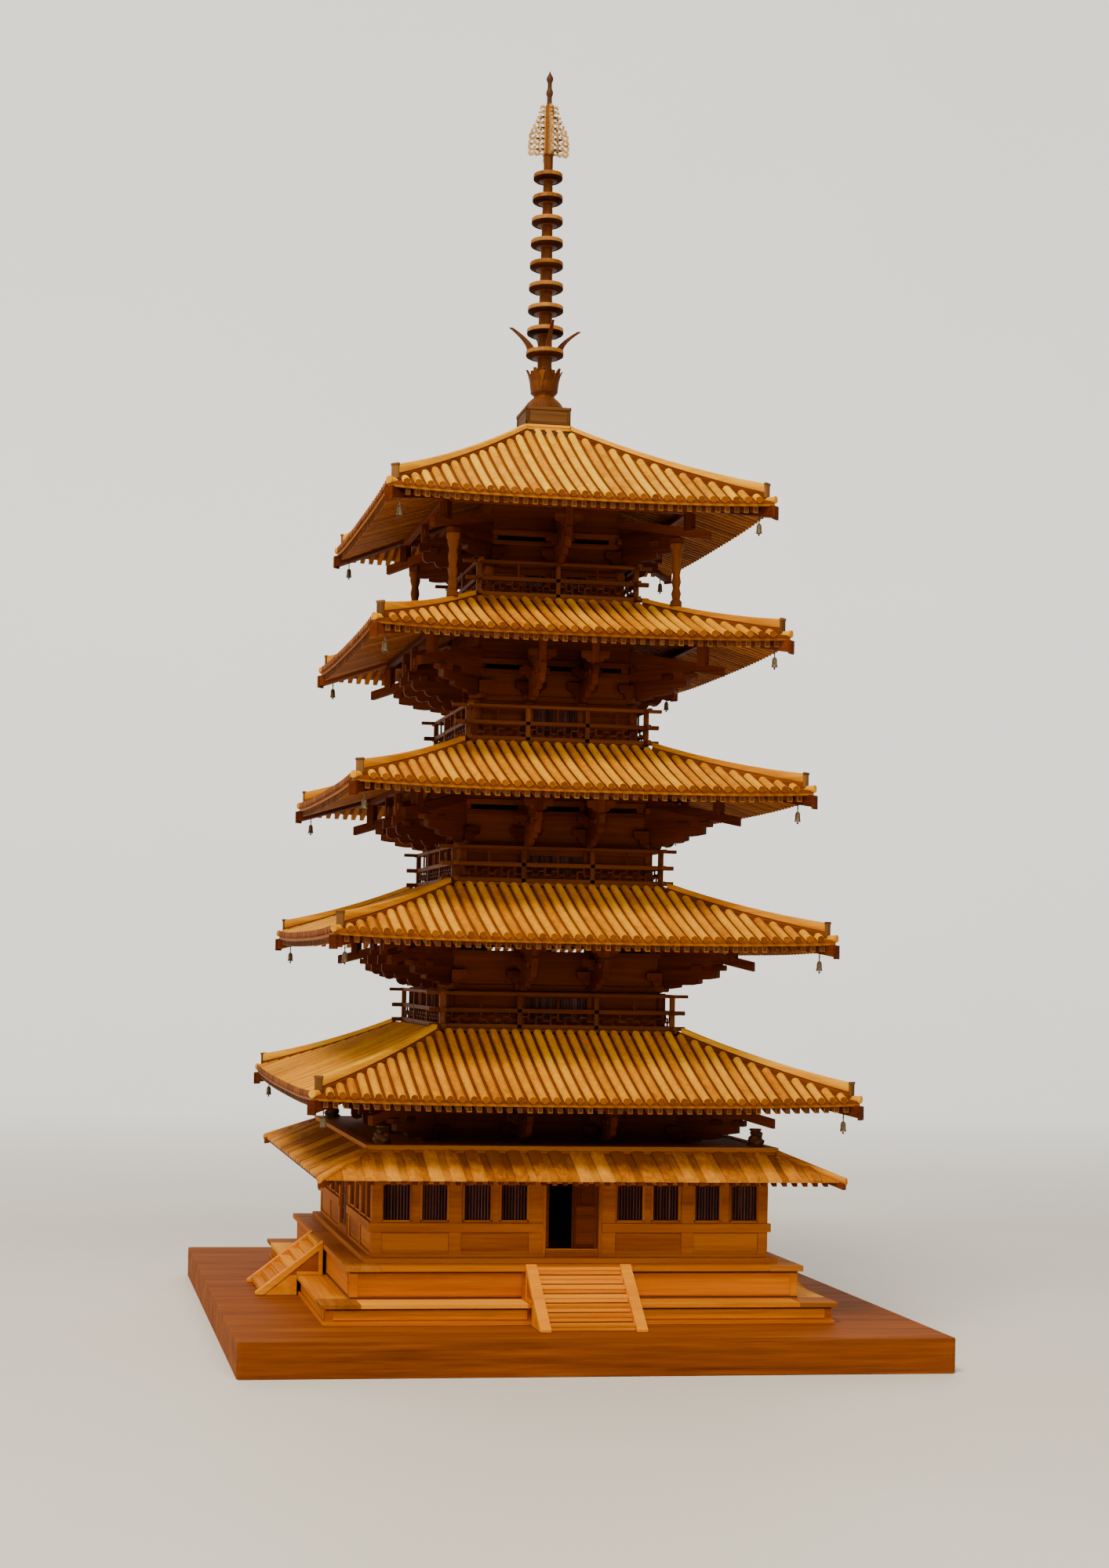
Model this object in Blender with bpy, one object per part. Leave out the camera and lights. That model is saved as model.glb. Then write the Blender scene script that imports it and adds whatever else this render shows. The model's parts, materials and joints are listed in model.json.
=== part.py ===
# Wooden display model of a five-storey pagoda on its base board, at about 1:25.
# Metres, +Z up, origin at the middle of the base board's underside, front towards -Y.
import math

import bmesh
import bpy
from mathutils import Matrix, Vector

GAP = 0.0003            # seat between neighbouring pieces
LAP = 0.0003            # step that keeps the faces of fused bars apart
BITE = 0.0010           # how far a fused bar sinks into the piece that carries it
SIDES = ("front", "right", "back", "left")

# Base board
BOARD_HALF = 0.340
BOARD_THICK = 0.033
BOARD_CORNER = 0.004

# Heights below are above the top of the base board
LOWER_PODIUM_HALF = 0.2490
LOWER_CAP_HALF = 0.2535
LOWER_CAP_LOW = 0.0166
LOWER_TOP = 0.0204
FOOT_STRIP_HALF = 0.2520
FOOT_STRIP_HIGH = 0.0030
UPPER_PODIUM_HALF = 0.2230
UPPER_CAP_HALF = 0.2270
UPPER_CAP_LOW = 0.0480
UPPER_TOP = 0.0528
FLOOR_HALF = 0.2070
FLOOR_TOP = 0.0575

# Stairs
STAIR_HALF = 0.0512
STRINGER_WIDE = 0.0098
STRINGER_RISE = 0.0022
STAIR_FOOT = 0.2960
STAIR_STEPS = 7
STAIR_SET_BACK = 0.6    # the first riser's distance from the foot, in treads
TREAD_DROP = 0.0010     # treads below the line of the stringers

# Skirt storey round the ground floor
SKIRT_HALF = 0.1993
SKIRT_WALL_THICK = 0.0060
SKIRT_WALL_TOP = 0.1580
SKIRT_POST_PROUD = 0.0012
SKIRT_PLATE_TOP = 0.1625
SKIRT_PLATE_OUT = 0.2060
SKIRT_PLATE_IN = 0.1900
SILL_LOW = 0.0830
SILL_HIGH = 0.0913
SILL_PROUD = 0.0030
POST_SINK = 0.0020      # posts and sills run this far into the wall behind them
SILL_SINK = 0.0030
GROUND_SILL_HIGH = 0.0613
WINDOW_LOW = 0.0930
WINDOW_HIGH = 0.1300
# Left and right edge of each window, measured from the middle of a side
WINDOWS = ((0.0445, 0.0720), (0.0810, 0.1085), (0.1240, 0.1505), (0.1610, 0.1890))
POSTS = ((0.0296, 0.0434), (0.1110, 0.1230), (0.1895, SKIRT_HALF))
CUT_REACH = 0.0100      # window cutters run this far past the face of the wall
DOORWAY_HALF = 0.0264
DOORWAY_LOW = 0.0660
DOORWAY_HIGH = 0.1300

# Door leaves
LEAF_WIDE = 0.0255
LEAF_THICK = 0.0035
LEAF_GAP = 0.0004
LEAF_GROOVE = 0.0005    # half width of the joint line between two shut leaves

# Skirt roof and the flat deck that closes it against the inner walls
SKIRT_EAVE_HALF = 0.2580
SKIRT_EAVE_LOW = 0.1365
SKIRT_BOARD_THICK = 0.0035
SKIRT_EAVE_RISE = 0.430
DECK_HALF = 0.2070
DECK_TOP = 0.1673
DECK_HOLE_GAP = 0.0035  # between the deck and the inner wall

WALL_THICK = 0.0060
FIGURE_CENTRE = 0.1885  # carved corner props above the skirt roof
FIGURE_HALF = 0.0085
# Storeys from the ground up: half width and top of the wall, half width of the eave and
# underside of its tiles, half width and height of the roof's upper edge, line of the rail
STOREYS = (
    {"wall": 0.128, "wall_top": 0.1620, "eave": 0.2680, "eave_low": 0.2096,
     "top": 0.128, "top_z": 0.2760},
    {"wall": 0.110, "wall_top": 0.3180, "eave": 0.2480, "eave_low": 0.3656,
     "top": 0.112, "top_z": 0.4250, "rail": 0.1200, "window": (0.0, 0.034)},
    {"wall": 0.097, "wall_top": 0.4640, "eave": 0.2295, "eave_low": 0.5133,
     "top": 0.097, "top_z": 0.5710, "rail": 0.1083, "window": (0.0, 0.031)},
    {"wall": 0.082, "wall_top": 0.6165, "eave": 0.2095, "eave_low": 0.6685,
     "top": 0.089, "top_z": 0.7210, "rail": 0.0940, "window": (0.0, 0.026)},
    {"wall": 0.069, "wall_top": 0.7570, "eave": 0.1955, "eave_low": 0.8045,
     "top": 0.0250, "top_z": 0.9110, "rail": 0.0835, "window": (0.022, 0.012)},
)
TILE_THICK = 0.0060
RAFTER_THICK = 0.0070
RAFTER_BACK = 0.0040
RAFTER_SLOPE = 0.30
BRACKET_FACE = 0.0030   # the ring over each wall stands this far outside the wall's face
ARM_LOW = ((-0.0030, 0.0095), (0.0080, 0.0095), (0.0200, 0.0120), (0.0340, 0.0160),
           (0.0410, 0.0200))    # lower edge of a bracket arm: reach from the wall, height
ARM_WIDE = 0.0060
COLUMN_TAIL = 0.0640    # reach of the tail beams between the corners
PURLIN_REACH = (0.0545, 0.0615)
PURLIN_HIGH = 0.0070
TAIL_SLOPE = 0.30
TAIL_REACH = 0.0750     # slanted tail beam at each corner
TAIL_LOW = 0.0235
TAIL_HIGH = 0.0330
TAIL_WIDE = 0.0070
CORNER_LIFT = 0.0040
ROOF_CURVE = 0.15
ROOF_ROWS = 4           # steps of the curved slope
ROOF_COLUMNS = 6
RAFTER_ROWS = 2
HIP_WIDE = 0.0075
HIP_HIGH = 0.0065
HIP_END = 0.0070        # the ridge board stops this far inside the corner, in half width
HIP_RISE = 0.0062       # extra height of its outer end
CROWN_HALF = 0.0265     # square cap of the top roof
CROWN_TOP = 0.9190
PROP_CENTRE = 0.1170    # posts from the fourth roof's hips to the top storey's tail beams
PROP_HALF = 0.0055

WINDOW_ABOVE_ROOF = 0.0100
WINDOW_BELOW_TOP = 0.0060

# Balcony rails above the roof's upper edge
RAIL_LEVELS = (0.0040, 0.0205, 0.0380)
RAIL_SIDE = 0.0044
RAIL_REACH = (0.0135, 0.0135, 0.0165)
RAIL_POST = 0.0048
BALCONY_FLOOR_THICK = 0.0030

# Spire
SPIRE_BOX_HALF = 0.0237
SPIRE_BOX_TOP = 0.9385
LOTUS_TOP = 0.9830
# Dome and lotus cup: radius, height above the box
DOME = ((0.0205, 0.0003), (0.0195, 0.0038), (0.0150, 0.0113), (0.0112, 0.0168),
        (0.0105, 0.0190), (0.0135, 0.0222), (0.0152, 0.0300), (0.0165, 0.0405),
        (0.0195, 0.0445))
RING_COUNT = 9
RING_FIRST = 1.0000     # middle of the lowest ring
RING_LAST = 1.1906      # and of the highest
RING_LOW_RADIUS = 0.0200
RING_HIGH_RADIUS = 0.0155
RING_TALL = 0.0074
RING_SHAPE = ((1.0, -1.0), (0.97, 0.5), (0.80, 1.0))    # share of radius, of half height
SHAFT_LOW_RADIUS = 0.0072
SHAFT_HIGH_RADIUS = 0.0044
HORN_REACH = 0.0375     # curved horns that spring from the lowest ring
HORN_RISE = 0.0240
HORN_ROOT = 0.0150
HORN_HALF = (0.0017, 0.0019)    # half thickness outwards and sideways at the root
FLAME_LOW = 1.2150
FLAME_TOP = 1.2690
FLAME_HALF = 0.0218
FLAME_THICK = 0.0016
FLAME_CORE = 0.0052
# Right half of the flame plates' outline: share of half width, share of height
FLAME_EDGE = ((1.0, 0.015), (1.0, 0.35), (0.78, 0.55), (0.70, 0.80), (0.30, 0.97))
# Bead, neck and tip jewel: radius, height above the flame
JEWELS = ((0.0023, 0.0003), (0.0019, 0.0093), (0.0038, 0.0133), (0.0030, 0.0168),
          (0.0019, 0.0188), (0.0019, 0.0250), (0.0038, 0.0290), (0.0019, 0.0335))
SPIRE_TIP = 1.3060

WOODS = {
    "base_wood": ((0.150, 0.075, 0.040), 0.40),
    "podium_wood": ((0.300, 0.135, 0.050), 0.45),
    "stair_wood": ((0.460, 0.260, 0.120), 0.50),
    "wall_wood": ((0.200, 0.090, 0.035), 0.50),
    "roof_wood": ((0.560, 0.290, 0.070), 0.45),
    "skirt_board_wood": ((0.470, 0.220, 0.060), 0.45),
    "bracket_wood": ((0.130, 0.038, 0.018), 0.55),
    "spire_wood": ((0.220, 0.110, 0.060), 0.45),
}


def up(height):
    """World height of a level that is given above the top of the board."""
    return BOARD_THICK + height


def clear_scene():
    for obj in list(bpy.data.objects):
        bpy.data.objects.remove(obj, do_unlink=True)


def wood(name):
    mat = bpy.data.materials.get(name)
    if mat is None:
        colour, rough = WOODS[name]
        mat = bpy.data.materials.new(name)
        mat.use_nodes = True
        shader = mat.node_tree.nodes["Principled BSDF"]
        shader.inputs["Base Color"].default_value = (*colour, 1.0)
        shader.inputs["Roughness"].default_value = rough
        shader.inputs["Metallic"].default_value = 0.0
        mat.diffuse_color = (*colour, 1.0)
    return mat


def finish(name, bm, material, origin=(0, 0, 0), smooth=False):
    """Makes a named object from the bmesh, with its origin at the given point."""
    bmesh.ops.remove_doubles(bm, verts=bm.verts, dist=1e-6)
    bmesh.ops.recalc_face_normals(bm, faces=bm.faces)
    for face in bm.faces:
        face.smooth = smooth
    bm.transform(Matrix.Translation(-Vector(origin)))
    mesh = bpy.data.meshes.new(name)
    bm.to_mesh(mesh)
    bm.free()
    obj = bpy.data.objects.new(name, mesh)
    obj.location = origin
    bpy.context.collection.objects.link(obj)
    mesh.materials.append(wood(material))
    return obj


def add_box(bm, low, high):
    """Adds a box between two corners and returns its vertices."""
    low, high = Vector(low), Vector(high)
    made = bmesh.ops.create_cube(bm, size=1.0)["verts"]
    bmesh.ops.scale(bm, vec=high - low, verts=made)
    bmesh.ops.translate(bm, vec=(low + high) / 2, verts=made)
    return made


def add_square_turn(bm, profile):
    """Turns a closed outline of (half width, height) points into a four-sided ring."""
    verts = [bm.verts.new((half, half, up(z))) for half, z in profile]
    edges = [bm.edges.new((a, b)) for a, b in zip(verts, verts[1:] + verts[:1])]
    bmesh.ops.spin(bm, geom=verts + edges, cent=(0, 0, 0), axis=(0, 0, 1), dvec=(0, 0, 0),
                   angle=2 * math.pi, steps=4, use_merge=True, use_duplicate=False)


def add_extrusion(bm, outline, step):
    """Extrudes a closed outline of points by the given step into a solid."""
    face = bm.faces.new([bm.verts.new(p) for p in outline])
    made = bmesh.ops.extrude_face_region(bm, geom=[face])["geom"]
    moved = [v for v in made if isinstance(v, bmesh.types.BMVert)]
    bmesh.ops.translate(bm, vec=step, verts=moved)


def add_turned(bm, profile, steps):
    """Turns an open outline of (radius, height) points, from axis to axis, into a round solid."""
    verts = [bm.verts.new((radius, 0, up(z))) for radius, z in profile]
    edges = [bm.edges.new((a, b)) for a, b in zip(verts, verts[1:])]
    bmesh.ops.spin(bm, geom=verts + edges, cent=(0, 0, 0), axis=(0, 0, 1), dvec=(0, 0, 0),
                   angle=2 * math.pi, steps=steps, use_merge=True, use_duplicate=False)


def add_sweep(bm, sections):
    """Joins four-cornered sections into one bar with closed ends."""
    rings = [[bm.verts.new(corner) for corner in corners] for corners in sections]
    for ring, following in zip(rings, rings[1:]):
        for i in range(4):
            j = (i + 1) % 4
            bm.faces.new((ring[i], ring[j], following[j], following[i]))
    bm.faces.new(rings[0][::-1])
    bm.faces.new(rings[-1])


def quarter_turns(bm, verts):
    """Copies the given part of the mesh to the other three sides."""
    geom = set(verts)
    for v in verts:
        geom.update(v.link_edges)
        geom.update(v.link_faces)
    for quarter in (1, 2, 3):
        copy = bmesh.ops.duplicate(bm, geom=list(geom))["geom"]
        new_verts = [v for v in copy if isinstance(v, bmesh.types.BMVert)]
        bmesh.ops.rotate(bm, cent=(0, 0, 0), verts=new_verts,
                         matrix=Matrix.Rotation(quarter * math.pi / 2, 3, "Z"))


def join_solids(target, others, name="union"):
    """Fuses overlapping solids into the target with exact Boolean unions."""
    for other in others:
        fuse = target.modifiers.new(name, "BOOLEAN")
        fuse.operation = "UNION"
        fuse.solver = "EXACT"
        fuse.object = other
        hide_cutter(other)


def cut(target, cutter):
    hole = target.modifiers.new("cut", "BOOLEAN")
    hole.operation = "DIFFERENCE"
    hole.solver = "EXACT"
    hole.object = cutter
    hide_cutter(cutter)


def hide_cutter(obj):
    obj.hide_render = True
    obj.display_type = "WIRE"


def make_base_board():
    bm = bmesh.new()
    half = BOARD_HALF
    add_box(bm, (-half, -half, 0), (half, half, BOARD_THICK))
    upright = [e for e in bm.edges if abs(e.verts[0].co.z - e.verts[1].co.z) > BOARD_THICK / 2]
    bmesh.ops.bevel(bm, geom=upright, offset=BOARD_CORNER, segments=4, profile=0.5,
                    affect="EDGES", material=-1)
    rim = [e for e in bm.edges if all(v.co.z > BOARD_THICK - 1e-6 for v in e.verts)]
    bmesh.ops.bevel(bm, geom=rim, offset=BOARD_CORNER / 4, segments=2, profile=0.5,
                    affect="EDGES", material=-1)
    finish("base_board", bm, "base_wood")


def stepped_block(name, steps, material):
    """A solid square block whose half width changes with height: (half width, height) points."""
    bm = bmesh.new()
    outline = [(0.0, steps[0][1]), *steps, (0.0, steps[-1][1])]
    add_square_turn_open(bm, outline)
    return finish(name, bm, material)


def add_square_turn_open(bm, outline):
    """Turns an open outline from axis to axis into a four-sided solid."""
    verts = [bm.verts.new((half, half, up(z))) for half, z in outline]
    edges = [bm.edges.new((a, b)) for a, b in zip(verts, verts[1:])]
    bmesh.ops.spin(bm, geom=verts + edges, cent=(0, 0, 0), axis=(0, 0, 1), dvec=(0, 0, 0),
                   angle=2 * math.pi, steps=4, use_merge=True, use_duplicate=False)


def make_podiums():
    stepped_block("lower_podium", (
        (FOOT_STRIP_HALF, GAP), (FOOT_STRIP_HALF, FOOT_STRIP_HIGH),
        (LOWER_PODIUM_HALF, FOOT_STRIP_HIGH), (LOWER_PODIUM_HALF, LOWER_CAP_LOW),
        (LOWER_CAP_HALF, LOWER_CAP_LOW), (LOWER_CAP_HALF, LOWER_TOP)), "podium_wood")
    stepped_block("upper_podium", (
        (UPPER_PODIUM_HALF, LOWER_TOP + GAP), (UPPER_PODIUM_HALF, UPPER_CAP_LOW),
        (UPPER_CAP_HALF, UPPER_CAP_LOW), (UPPER_CAP_HALF, UPPER_TOP)), "podium_wood")
    floor = stepped_block("ground_floor", (
        (FLOOR_HALF, UPPER_TOP + GAP), (FLOOR_HALF, FLOOR_TOP)), "stair_wood")
    bm = bmesh.new()
    reach = DOORWAY_HALF - GAP
    for quarter in range(4):
        verts = add_box(bm, (-reach, -SKIRT_HALF, up(FLOOR_TOP - BITE)),
                        (reach, -SKIRT_HALF + SKIRT_WALL_THICK, up(DOORWAY_LOW)))
        bmesh.ops.rotate(bm, cent=(0, 0, 0), verts=verts,
                         matrix=Matrix.Rotation(quarter * math.pi / 2, 3, "Z"))
    join_solids(floor, [finish("thresholds", bm, "stair_wood")])


def stair_outline(lift):
    """Side outline of a flight, as (distance from the middle, height) points."""
    top = UPPER_CAP_HALF + GAP
    back = LOWER_CAP_HALF + GAP
    return [(STAIR_FOOT, GAP), (STAIR_FOOT, GAP + lift), (top, UPPER_TOP + lift),
            (top, LOWER_TOP + GAP), (back, LOWER_TOP + GAP), (back, GAP)]


def make_stair(name, quarter):
    top = UPPER_CAP_HALF + GAP
    back = LOWER_CAP_HALF + GAP
    run = (STAIR_FOOT - top) / STAIR_STEPS
    rise = UPPER_TOP / STAIR_STEPS
    outline = [(back, GAP)]
    for step in range(STAIR_STEPS):
        riser = STAIR_FOOT - run * (step + STAIR_SET_BACK)
        low = outline[-1][1] if step else GAP
        outline += [(riser, low), (riser, rise * (step + 1) - TREAD_DROP)]
    outline += [(top, outline[-1][1]), (top, LOWER_TOP + GAP), (back, LOWER_TOP + GAP)]
    turn = Matrix.Rotation(quarter * math.pi / 2, 4, "Z")
    inner = STAIR_HALF - STRINGER_WIDE / 2
    bm = bmesh.new()
    add_extrusion(bm, [(-inner, -d, up(z)) for d, z in outline], (2 * inner, 0, 0))
    bm.transform(turn)
    flight = finish(name, bm, "stair_wood")
    for side in (-1, 1):
        bm = bmesh.new()
        start = side * STAIR_HALF if side < 0 else STAIR_HALF - STRINGER_WIDE
        add_extrusion(bm, [(start, -d, up(z)) for d, z in stair_outline(STRINGER_RISE)],
                      (STRINGER_WIDE, 0, 0))
        bm.transform(turn)
        join_solids(flight, [finish(f"{name}_stringer_{side}", bm, "stair_wood")])


def window_cutter(name, boxes, quarter):
    bm = bmesh.new()
    for low, high in boxes:
        add_box(bm, low, high)
    bm.transform(Matrix.Rotation(quarter * math.pi / 2, 4, "Z"))
    return finish(name, bm, "wall_wood")


def on_side(side, left, right):
    """The two ends, in order, of a stretch right of the middle or of its mirror image."""
    return (left, right) if side > 0 else (-right, -left)


def make_skirt_wall(name, quarter, side):
    """Half of one side of the skirt storey: slab, posts and sills with four window openings."""
    end = SKIRT_HALF if quarter % 2 == 0 else SKIRT_HALF - SKIRT_WALL_THICK - GAP
    face = SKIRT_HALF - SKIRT_POST_PROUD
    turn = Matrix.Rotation(quarter * math.pi / 2, 4, "Z")
    rail_end = SKIRT_HALF + SILL_PROUD if quarter % 2 == 0 else end
    foot = FLOOR_TOP + GAP
    slab = [(DOORWAY_HALF, end, face, foot, SKIRT_WALL_TOP)]
    posts = [(left, min(right, end), SKIRT_HALF, GROUND_SILL_HIGH - LAP, SKIRT_WALL_TOP - LAP)
             for left, right in POSTS if left < end - SKIRT_POST_PROUD]
    sills = [(DOORWAY_HALF + LAP, end - LAP, SKIRT_HALF + LAP, foot + LAP, GROUND_SILL_HIGH),
             (POSTS[0][0] + LAP, rail_end, face + SILL_PROUD, SILL_LOW, SILL_HIGH)]
    made = []
    for label, pieces, back in (("", slab, SKIRT_WALL_THICK - SKIRT_POST_PROUD),
                                ("_posts", posts, POST_SINK), ("_sills", sills, SILL_SINK)):
        bm = bmesh.new()
        for left, right, front, low, high in pieces:
            start, stop = on_side(side, left, right)
            add_box(bm, (start, -front, up(low)), (stop, -face + back, up(high)))
        bm.transform(turn)
        made.append(finish(name + label, bm, "wall_wood"))
    wall = made[0]
    join_solids(wall, made[1:])
    boxes = []
    for left, right in WINDOWS:
        start, stop = on_side(side, left, right)
        boxes.append(((start, -SKIRT_HALF - CUT_REACH, up(WINDOW_LOW)),
                      (stop, -SKIRT_HALF + CUT_REACH, up(WINDOW_HIGH))))
    cut(wall, window_cutter(f"{name}_window_cut", boxes, quarter))


def make_skirt_walls():
    for quarter, side_name in enumerate(SIDES):
        make_skirt_wall(f"skirt_wall_{side_name}_a", quarter, -1)
        make_skirt_wall(f"skirt_wall_{side_name}_b", quarter, 1)
    bm = bmesh.new()
    low = SKIRT_WALL_TOP + GAP
    add_square_turn(bm, [(SKIRT_PLATE_IN, low), (SKIRT_PLATE_OUT, low),
                         (SKIRT_PLATE_OUT, SKIRT_PLATE_TOP), (SKIRT_PLATE_IN, SKIRT_PLATE_TOP)])
    plate = finish("skirt_wall_plate", bm, "wall_wood")
    # The four door heads hang from the plate, in line with the walls
    for quarter in range(4):
        bm = bmesh.new()
        reach = DOORWAY_HALF - GAP
        add_box(bm, (-reach, -SKIRT_HALF, up(DOORWAY_HIGH)),
                (reach, -SKIRT_HALF + SKIRT_WALL_THICK, up(low + BITE)))
        bm.transform(Matrix.Rotation(quarter * math.pi / 2, 4, "Z"))
        join_solids(plate, [finish(f"door_head_{quarter}", bm, "wall_wood")])


def make_door_leaf(name, quarter, side, origin=(0, 0, 0), turn=0.0):
    """One leaf; side -1 is the left one seen from outside. It is shut when turn is 0."""
    inner = SKIRT_HALF - SKIRT_WALL_THICK
    hinge_x = side * (DOORWAY_HALF - LEAF_GAP)
    other_x = hinge_x - side * LEAF_WIDE
    bm = bmesh.new()
    add_box(bm, (min(hinge_x, other_x), -inner - LEAF_THICK, up(DOORWAY_LOW + LEAF_GAP)),
            (max(hinge_x, other_x), -inner, up(DOORWAY_HIGH - LEAF_GAP)))
    pivot = Vector((hinge_x, -inner, 0))
    bmesh.ops.rotate(bm, cent=pivot, verts=bm.verts, matrix=Matrix.Rotation(turn, 3, "Z"))
    bm.transform(Matrix.Rotation(quarter * math.pi / 2, 4, "Z"))
    return finish(name, bm, "wall_wood", origin)


def make_doors():
    inner = SKIRT_HALF - SKIRT_WALL_THICK
    hinge = DOORWAY_HALF - LEAF_GAP
    make_door_leaf("door_leaf_left", 0, -1, (-hinge, -inner, up(DOORWAY_LOW)), math.pi / 2)
    make_door_leaf("door_leaf_right", 0, 1, (hinge, -inner, up(DOORWAY_LOW)))
    for quarter, side_name in enumerate(SIDES):
        if quarter == 0:
            continue
        bm = bmesh.new()
        low, high = up(DOORWAY_LOW + LEAF_GAP), up(DOORWAY_HIGH - LEAF_GAP)
        front, groove = -inner - LEAF_THICK, -inner - LEAF_THICK / 2
        outline = [(-hinge, -inner), (-hinge, front), (-LEAF_GROOVE, front),
                   (-LEAF_GROOVE, groove), (LEAF_GROOVE, groove), (LEAF_GROOVE, front),
                   (hinge, front), (hinge, -inner)]
        add_extrusion(bm, [(x, y, low) for x, y in outline], (0, 0, high - low))
        bm.transform(Matrix.Rotation(quarter * math.pi / 2, 4, "Z"))
        finish(f"doors_{side_name}", bm, "wall_wood")


def make_skirt_roof():
    inner = SKIRT_PLATE_OUT + GAP
    rise = (SKIRT_EAVE_HALF - inner) * SKIRT_EAVE_RISE
    low, thick = SKIRT_EAVE_LOW, SKIRT_BOARD_THICK
    bm = bmesh.new()
    add_square_turn(bm, [(inner, low + rise), (SKIRT_EAVE_HALF, low),
                         (SKIRT_EAVE_HALF, low + thick), (inner, low + rise + thick)])
    finish("skirt_roof", bm, "skirt_board_wood")
    bm = bmesh.new()
    hole = STOREYS[0]["wall"] + DECK_HOLE_GAP
    low = SKIRT_PLATE_TOP + GAP
    add_square_turn(bm, [(hole, low), (DECK_HALF, low), (DECK_HALF, DECK_TOP),
                         (hole, DECK_TOP)])
    deck = finish("skirt_roof_deck", bm, "stair_wood")
    bm = bmesh.new()
    centre, half = FIGURE_CENTRE, FIGURE_HALF
    add_box(bm, (centre - half, centre - half, up(DECK_TOP - LAP)),
            (centre + half, centre + half, up(STOREYS[0]["wall_top"] + TAIL_LOW)))
    figure = bm.verts[:]
    quarter_turns(bm, figure)
    join_solids(deck, [finish("corner_figures", bm, "stair_wood")])


def corner_lift(reach, along, v):
    """Rise of the eave towards a corner, which fades out up the slope as v goes from 0 to 1."""
    return CORNER_LIFT * abs(along / reach) ** 3 * max(0.0, 1 - v) ** 1.5


def roof_height(storey, reach, along):
    """Height of the tiles' upper face at a half width, and a distance along that side."""
    start = storey["eave_low"] + TILE_THICK
    full = storey["top_z"] - start
    v = (storey["eave"] - reach) / (storey["eave"] - storey["top"])
    lift = corner_lift(reach, along, v)
    return start + full * ((1 - ROOF_CURVE) * v + ROOF_CURVE * v * v) + lift


def rafter_height(storey, reach, along):
    """Height of the rafters' upper face, which is a flatter slope than the tiles."""
    v = (storey["eave"] - reach) / (storey["eave"] - storey["wall"])
    lift = corner_lift(reach, along, v)
    return storey["eave_low"] - GAP + RAFTER_SLOPE * (storey["eave"] - reach) + lift


def add_shell(name, outer, inner, height, thick, rows, columns, material):
    """A pitched square ring whose upper face follows a height function."""
    bm = bmesh.new()
    bmesh.ops.create_grid(bm, x_segments=columns, y_segments=rows, size=1.0)
    for vert in bm.verts:
        across, v = vert.co.x, (vert.co.y + 1) / 2
        reach = outer + (inner - outer) * v
        vert.co = (across * reach, -reach, up(height(reach, across * reach)))
    made = bmesh.ops.extrude_face_region(bm, geom=bm.faces[:])["geom"]
    lower = [g for g in made if isinstance(g, bmesh.types.BMVert)]
    bmesh.ops.translate(bm, vec=(0, 0, -thick), verts=lower)
    # The two slanted ends vanish where the four sides meet
    bm.normal_update()
    ends = [f for f in bm.faces
            if all(abs(abs(v.co.x) - abs(v.co.y)) < 1e-7 for v in f.verts)]
    bmesh.ops.delete(bm, geom=ends, context="FACES_ONLY")
    quarter_turns(bm, bm.verts[:])
    return finish(name, bm, material)


def make_hip(name, index, quarter):
    """Ridge board along one corner of a roof, from the balcony above it to its raised end."""
    storey = STOREYS[index]
    outer = storey["eave"] - HIP_END
    inner = storey["top"]
    if index + 1 < len(STOREYS):
        inner = max(inner + 0.0010, STOREYS[index + 1]["rail"] + RAIL_SIDE / 2 + HIP_WIDE / 2)
    side = Vector((1, 1, 0)).normalized() * HIP_WIDE / 2
    sections = []
    for i in range(ROOF_ROWS + 1):
        t = i / ROOF_ROWS
        reach = outer + (inner - outer) * t
        base = roof_height(storey, reach, reach)
        high = HIP_HIGH + HIP_RISE * (1 - t) ** 2
        point = Vector((reach, -reach, 0))
        low = Vector((0, 0, up(base - TILE_THICK * 0.5)))
        top = Vector((0, 0, up(base + high)))
        sections.append([point - side + low, point + side + low,
                         point + side + top, point - side + top])
    bm = bmesh.new()
    add_sweep(bm, sections)
    bm.transform(Matrix.Rotation(quarter * math.pi / 2, 4, "Z"))
    return finish(name, bm, "roof_wood")


def ring_profile(index):
    """Outline of the ring that carries the wall plane on up to the roof."""
    storey = STOREYS[index]
    wall, low, top = storey["wall"], storey["wall_top"] + GAP, storey["top"]
    face = wall + BRACKET_FACE
    inner_top = (STOREYS[index + 1]["wall"] - WALL_THICK if index + 1 < len(STOREYS)
                 else top + WALL_THICK)

    def under_roof(half):
        return roof_height(storey, half, 0.0) - TILE_THICK - GAP

    points = [(wall - WALL_THICK, low), (face, low), (face, under_roof(face))]
    # Under the roof the outline has a point at each row of the tile layer's mesh
    end = max(top, inner_top)
    rows = [storey["eave"] + (top - storey["eave"]) * i / ROOF_ROWS for i in range(ROOF_ROWS + 1)]
    points += [(half, under_roof(half)) for half in rows if end + GAP < half < face - GAP]
    points.append((end, under_roof(end)))
    if end > inner_top:
        points.append((inner_top, under_roof(end)))
    return points


def under_purlin_seat(storey, reach):
    """Height of the rafters' lower face at a distance from the wall, less the seat."""
    return rafter_height(storey, storey["wall"] + reach, 0.0) - RAFTER_THICK - GAP


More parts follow.
